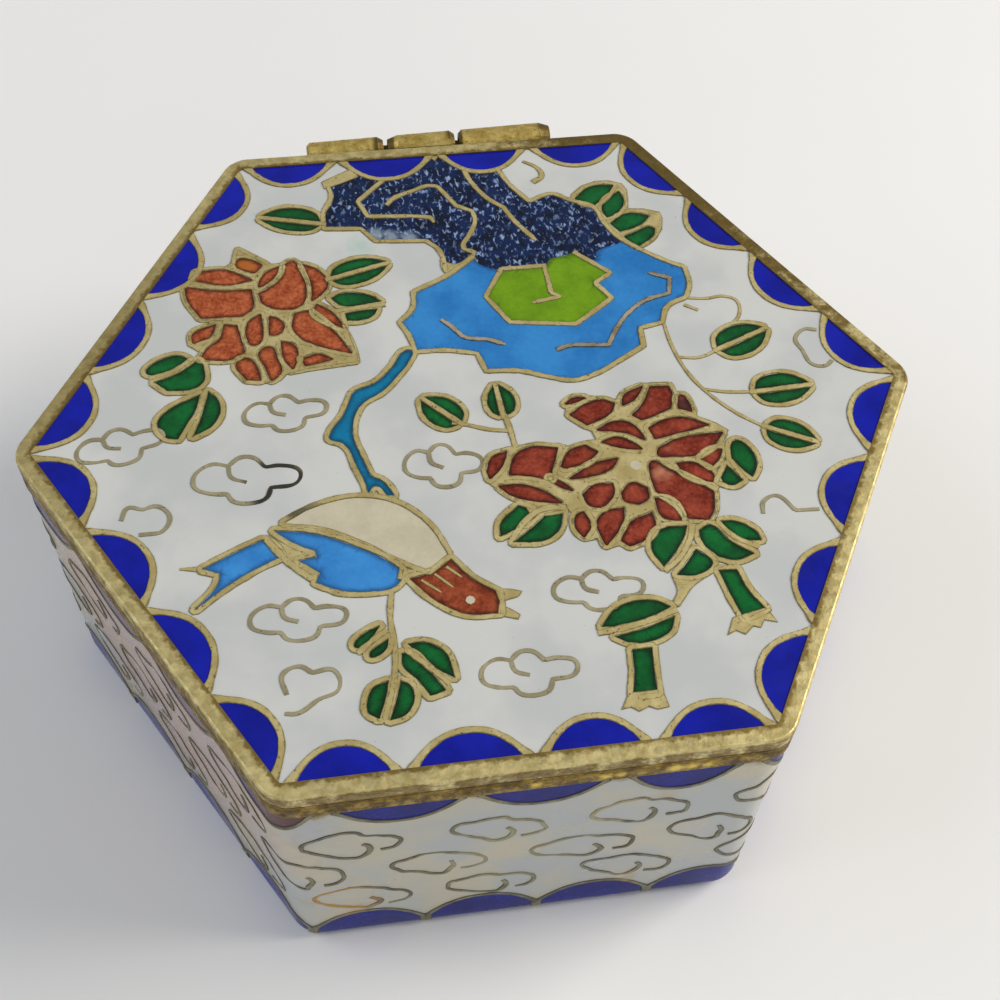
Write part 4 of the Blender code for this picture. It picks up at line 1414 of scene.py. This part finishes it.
def shell_ring(to_flat, z):
    """A ring of the cup, whose corners keep one centre from the outside to the inside."""
    return hexagon_ring(to_flat, max(CORNER - (WALL_FLAT - to_flat), 0.3), z)


outside = [
    (WALL_FLAT, WALL_TOP), *((WALL_FLAT - inset, z) for inset, z in quarter_arc(FOOT, 6)),
    (FOOT_FLAT, 0.0), (FOOT_FLAT, 0.4), (WALL_FLAT - SKIN, FOOT + 0.6), (WALL_FLAT - SKIN, WALL_TOP),
]
cup = loft("body_white_enamel", [shell_ring(*p) for p in outside], wall_white)
HOLLOW_FLAT = WALL_FLAT - WALL
LINING = SKIN - 0.1
inside = [
    (FOOT_FLAT + 0.2, 0.05), (FOOT_FLAT + 0.2, 0.5), (WALL_FLAT - LINING, FOOT + 0.7),
    (WALL_FLAT - LINING, WALL_TOP), (HOLLOW_FLAT, WALL_TOP),
    *((HOLLOW_FLAT - inset, FLOOR + z) for inset, z in quarter_arc(FILLET, 4)),
]
lining = loft("body_counter_enamel", [shell_ring(*p) for p in inside], inner_blue, closed=False)
cup_pieces = [(cup, "white_enamel"), (lining, "inner_enamel")]

# %% [markdown]
# ## Patterns rolled round the cup
#
# A maker draws the pattern of a wall as a flat strip and bends the wires over the cup. The same is done
# here: the pattern is made flat, with x along the wall and y up it, and each point is then rolled on:
# straight along a side, round an arc at a corner, and under at the foot. The strip is first cut where it
# will bend, or its long faces would stand off the corners.

# %% Rolling a flat strip onto the walls
STRAIGHT = 2 * (WALL_FLAT - CORNER) * math.tan(math.pi / 6)
ARC = CORNER * math.pi / 3
SIDE = STRAIGHT + ARC
ROUND_TRIP = 6 * SIDE
FOOT_START = WALL_TOP - FOOT
FOOT_STEPS = 6


def rolled(u, depth, lift):
    """The place on the cup of a point at u along the strip, a depth below its top, and a lift off it."""
    turn, along = divmod(u + STRAIGHT / 2, SIDE)
    outward = math.radians(60 * turn - 90)
    bend = outward + max(0.0, min(ARC, along - STRAIGHT)) / CORNER
    normal = Vector((math.cos(outward), math.sin(outward), 0))
    tangent = Vector((-normal.y, normal.x, 0))
    bent = Vector((math.cos(bend), math.sin(bend), 0))
    slope = min(max(0.0, depth - FOOT_START) / FOOT, math.pi / 2)
    inset = FOOT * (1 - math.cos(slope))
    spot = normal * (WALL_FLAT - CORNER) + tangent * (min(along, STRAIGHT) - STRAIGHT / 2)
    spot += bent * (CORNER - inset + lift * math.cos(slope))
    spot.z = WALL_TOP - min(depth, FOOT_START) - (FOOT + lift) * math.sin(slope)
    return spot


def roll_on(piece):
    """Cuts a flat strip where it will bend and bends it onto the cup."""
    mesh = piece.data
    bm = bmesh.new()
    bm.from_mesh(mesh)
    bends = [STRAIGHT / 2 + k * SIDE for k in range(-1, 8)]
    cuts = [(bend + ARC * j / ARC_STEPS, 0) for bend in bends for j in range(ARC_STEPS + 1)]
    cuts += [(-(FOOT_START + FOOT * math.pi / 2 * j / FOOT_STEPS), 1) for j in range(FOOT_STEPS)]
    for value, axis in cuts:
        normal = Vector((1 - axis, axis, 0))
        near = [
            f for f in bm.faces
            if min(v.co[axis] for v in f.verts) < value * MM < max(v.co[axis] for v in f.verts)
        ]
        geometry = list({e for f in near for e in f.edges} | {v for f in near for v in f.verts}) + near
        if near:
            spot = normal * value * MM
            bmesh.ops.bisect_plane(bm, geom=geometry, dist=1e-8, plane_co=spot, plane_no=normal)
    for v in bm.verts:
        v.co = rolled(v.co.x / MM, -v.co.y / MM, v.co.z / MM) * MM
    bm.to_mesh(mesh)
    bm.free()
    mesh.shade_smooth()
    mesh.set_sharp_from_angle(angle=SHARP_EDGE)
    print(f"{piece.name}: {len(mesh.polygons)} faces")
    return piece


print(f"the strip is {ROUND_TRIP:.1f} mm round, with {STRAIGHT:.1f} mm straight on each side")

# %% The walls' borders
for name, count, chord, depth, leg, stretch, first, last, y, shift, seed in (
    ("body_upper_half_moons", 21, 8.2, 2.7, 0.0, 0.08, ROUND_TRIP, 0.0, 0.0, 0.93, 21),
    ("body_lower_half_moons", 23, 8.7, 2.9, 2.4, 0.03, 0.0, ROUND_TRIP, -24.6, 0.64, 22),
):
    strip = [Vector((first, y)), Vector((last, y))]
    path = curve_object("strip_path", [(strip, [1, 1], False)], 0.0)
    pattern = half_moon("strip_half_moon", chord, depth, 0.1, 0.20, 0.30, leg)
    moons = apply_tree(
        pattern, border_tree, name, Path=path, Count=count, Shift=shift, Stretch=stretch, Seed=seed,
        Enamel=wall_blue, Brass=wall_wire, Level=0.012 * MM,
    )
    bpy.data.objects.remove(path)
    cup_pieces.append((roll_on(moons), "royal_blue_enamel"))

# %% [markdown]
# ## Rows of clouds on the walls
#
# The clouds of the walls are smaller and simpler than the lid's: one wire each, from a curl inside, round
# the left end, over three bumps, and back under at the right. A tree lays them in rows, each row half a
# step on from the last, turns and stretches every copy a little, and sweeps the wire.

# %% The cloud tree
tree, given = start_tree(
    "rows_of_clouds", Columns=20, Rows=3, Pitch=10.375 * MM, Row_height=5.3 * MM, First_row=-6.0 * MM,
    Start=0.0, Seed=31, Brass="Material",
)
ROW_SHIFT = 0.59
HAND_SIZE = 2.0
SWAY = 1.1
index = node(tree, "GeometryNodeInputIndex")
row = node(tree, "ShaderNodeMath", index, given["Columns"], operation="DIVIDE")
row = node(tree, "ShaderNodeMath", row, operation="FLOOR")
column = node(tree, "ShaderNodeMath", index, given["Columns"], operation="MODULO")
odd = node(tree, "ShaderNodeMath", row, 2.0, operation="MODULO")
steps = node(tree, "ShaderNodeMath", odd, ROW_SHIFT, column, operation="MULTIPLY_ADD")
x = node(tree, "ShaderNodeMath", steps, given["Pitch"], given["Start"], operation="MULTIPLY_ADD")
drop = node(tree, "ShaderNodeMath", row, given["Row height"], operation="MULTIPLY")
y = node(tree, "ShaderNodeMath", given["First row"], drop, operation="SUBTRACT")
jitter, tilt, scale = (
    node(tree, "FunctionNodeRandomValue", low, high, Seed=given["Seed"], data_type="FLOAT_VECTOR")
    for low, high in (
        ((-0.35 * MM, -0.25 * MM, 0), (0.35 * MM, 0.25 * MM, 0)),
        ((0, 0, -0.10), (0, 0, 0.10)),
        ((0.92, 0.88, 1), (1.04, 1.02, 1)),
    )
)
place = node(tree, "ShaderNodeVectorMath", node(tree, "ShaderNodeCombineXYZ", x, y), jitter, operation="ADD")
total = node(tree, "ShaderNodeMath", given["Columns"], given["Rows"], operation="MULTIPLY")
places = node(tree, "GeometryNodePoints", total, place)
copies = node(
    tree, "GeometryNodeInstanceOnPoints", places, Instance=given["Geometry"], Rotation=tilt, Scale=scale
)
lines = node(tree, "GeometryNodeRealizeInstances", copies)
here = node(tree, "GeometryNodeInputPosition")
hand = node(tree, "ShaderNodeTexNoise", here, 1 / (HAND_SIZE * MM), 1.0, out="Color")
sway = node(tree, "ShaderNodeVectorMath", hand, (0.5, 0.5, 0.5), operation="SUBTRACT")
sway = node(tree, "ShaderNodeVectorMath", sway, (SWAY * MM, SWAY * MM, 0), operation="MULTIPLY")
bent = node(tree, "GeometryNodeSetPosition", lines, Offset=sway)
end_tree(tree, swept(tree, bent, 0.3 * MM, 0.4, 0.35, given["Seed"], 0.05 * MM), given["Brass"])
cloud_tree = tree
print("cloud tree has", len(tree.nodes), "nodes")

# %% Clouds on the walls
wall_cloud = flow([
    (0.8, 0.1), (1.2, -0.8), (1.1, -1.5), (0.4, -2.3), (-0.7, -2.0), (-2.0, -1.1), (-3.1, -0.4), (-3.7, 0.6),
    (-3.3, 1.5), (-2.4, 1.8, 1), (-1.2, 2.2), (0.2, 2.3), (1.1, 1.7, 1), (2.3, 1.2), (3.4, 0.4), (3.6, -0.6),
    (3.1, -1.5), (1.9, -1.8),
], closed=False)
half_widths = [0.18 + 0.08 * max(0.0, 1 - abs(k - 6) / 7) for k in range(len(wall_cloud))]
pattern = curve_object("wall_cloud_line", [(wall_cloud, half_widths, False)], 0.0)
clouds = apply_tree(pattern, cloud_tree, "body_cloud_wires", Brass=wall_wire, Start=-2.2 * MM)
cup_pieces.append((roll_on(clouds), "wire_brass"))

# %% [markdown]
# ## The seat of the lid
#
# Real rims were soldered up by hand. Here a bead of the cup rim's brown brass fills the joint between the
# two rims, a dark sheet that stands in for the shade of the seam, and bright crumbs of brass sit on it in
# clumps. The crumbs are small rough balls that a tree strews along the joint, only where a noise field is
# high, so that they clump. They stay below the lid's rim.

# %% Bead
SEAT_LOW = base_rim_high.z / MM
SEAT_HIGH = rim_low.z / MM
BEAD_TOP = SEAT_HIGH - 0.03
section = ((0.04, SEAT_LOW), (0.03, SEAT_LOW + 0.14), (0.05, BEAD_TOP), (1.0, BEAD_TOP), (1.0, SEAT_LOW))
bead_rings = [hexagon_ring(RIM_FLAT - inset, 2.3, z) for inset, z in section]
# Painted shade: a brown sheet fills the seam between the rims.
seam_shade_fill = loft("base_seat_bead", bead_rings, base_rim_brass)

# %% Crumbs
tree, given = start_tree(
    "crumbs_along_a_joint", Spacing=0.07 * MM, Threshold=0.56, Size=0.09 * MM, Seed=41, Brass="Material"
)
CLUMP_SIZE = 2.6
stations = node(tree, "GeometryNodeCurveToPoints", given["Geometry"], Length=given["Spacing"], mode="LENGTH")
here = node(tree, "GeometryNodeInputPosition")
clumps = node(tree, "ShaderNodeTexNoise", here, 1 / (CLUMP_SIZE * MM), 2.0)
sparse = node(tree, "FunctionNodeCompare", clumps, given["Threshold"], operation="LESS_THAN")
kept = node(tree, "GeometryNodeDeleteGeometry", stations, sparse)
shift, size = (
    node(tree, "FunctionNodeRandomValue", low, high, Seed=given["Seed"], data_type="FLOAT_VECTOR")
    for low, high in (
        ((-0.03 * MM, -0.03 * MM, -0.05 * MM), (0.03 * MM, 0.03 * MM, 0.05 * MM)),
        ((0.6, 0.6, 0.5), (1.3, 1.0, 1.0)),
    )
)
moved = node(tree, "GeometryNodeSetPosition", kept, Offset=shift)
ball = node(tree, "GeometryNodeMeshIcoSphere", given["Size"], 1)
end_tree(tree, node(tree, "GeometryNodeInstanceOnPoints", moved, Instance=ball, Scale=size), given["Brass"])
joint = hexagon_ring(RIM_FLAT - 0.15, 2.1, 0.0)
joint_line = curve_object("joint_line", [(joint, [1] * len(joint), True)], (SEAT_LOW + SEAT_HIGH) / 2)
crumbs = apply_tree(joint_line, tree, "base_seat_crumbs", Brass=crumb_brass)
cup_pieces += [(seam_shade_fill, "rim_brass"), (crumbs, "rim_brass")]
print("crumbs:", len(crumbs.data.polygons), "faces")

# %% [markdown]
# ## Fitting out the imported parts
#
# The rims, the tubes of the hinge and its pin have their true shape in the model already, so they stay
# and only take a finish. The plate and the cup are replaced by the pieces made above.

# %% Finishes and bodies
for finish, names in (
    (lid_rim_brass, ["lid_rim"]),
    (base_rim_brass, ["base_rim"]),
    (hinge_brass, ["hinge_pin", "hinge_knuckle_left", "hinge_knuckle_middle", "hinge_knuckle_right"]),
):
    for name in names:
        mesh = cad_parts[name].data
        mesh.materials.clear()
        mesh.materials.append(finish)

for piece, slot in picture:
    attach(piece, "lid")
for piece, slot in cup_pieces:
    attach(piece, "base")
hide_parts("lid_plate")
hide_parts("lid_plate")
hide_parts("body")
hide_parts("body")
print(len(picture), "pieces ride the lid and", len(cup_pieces), "ride the base")
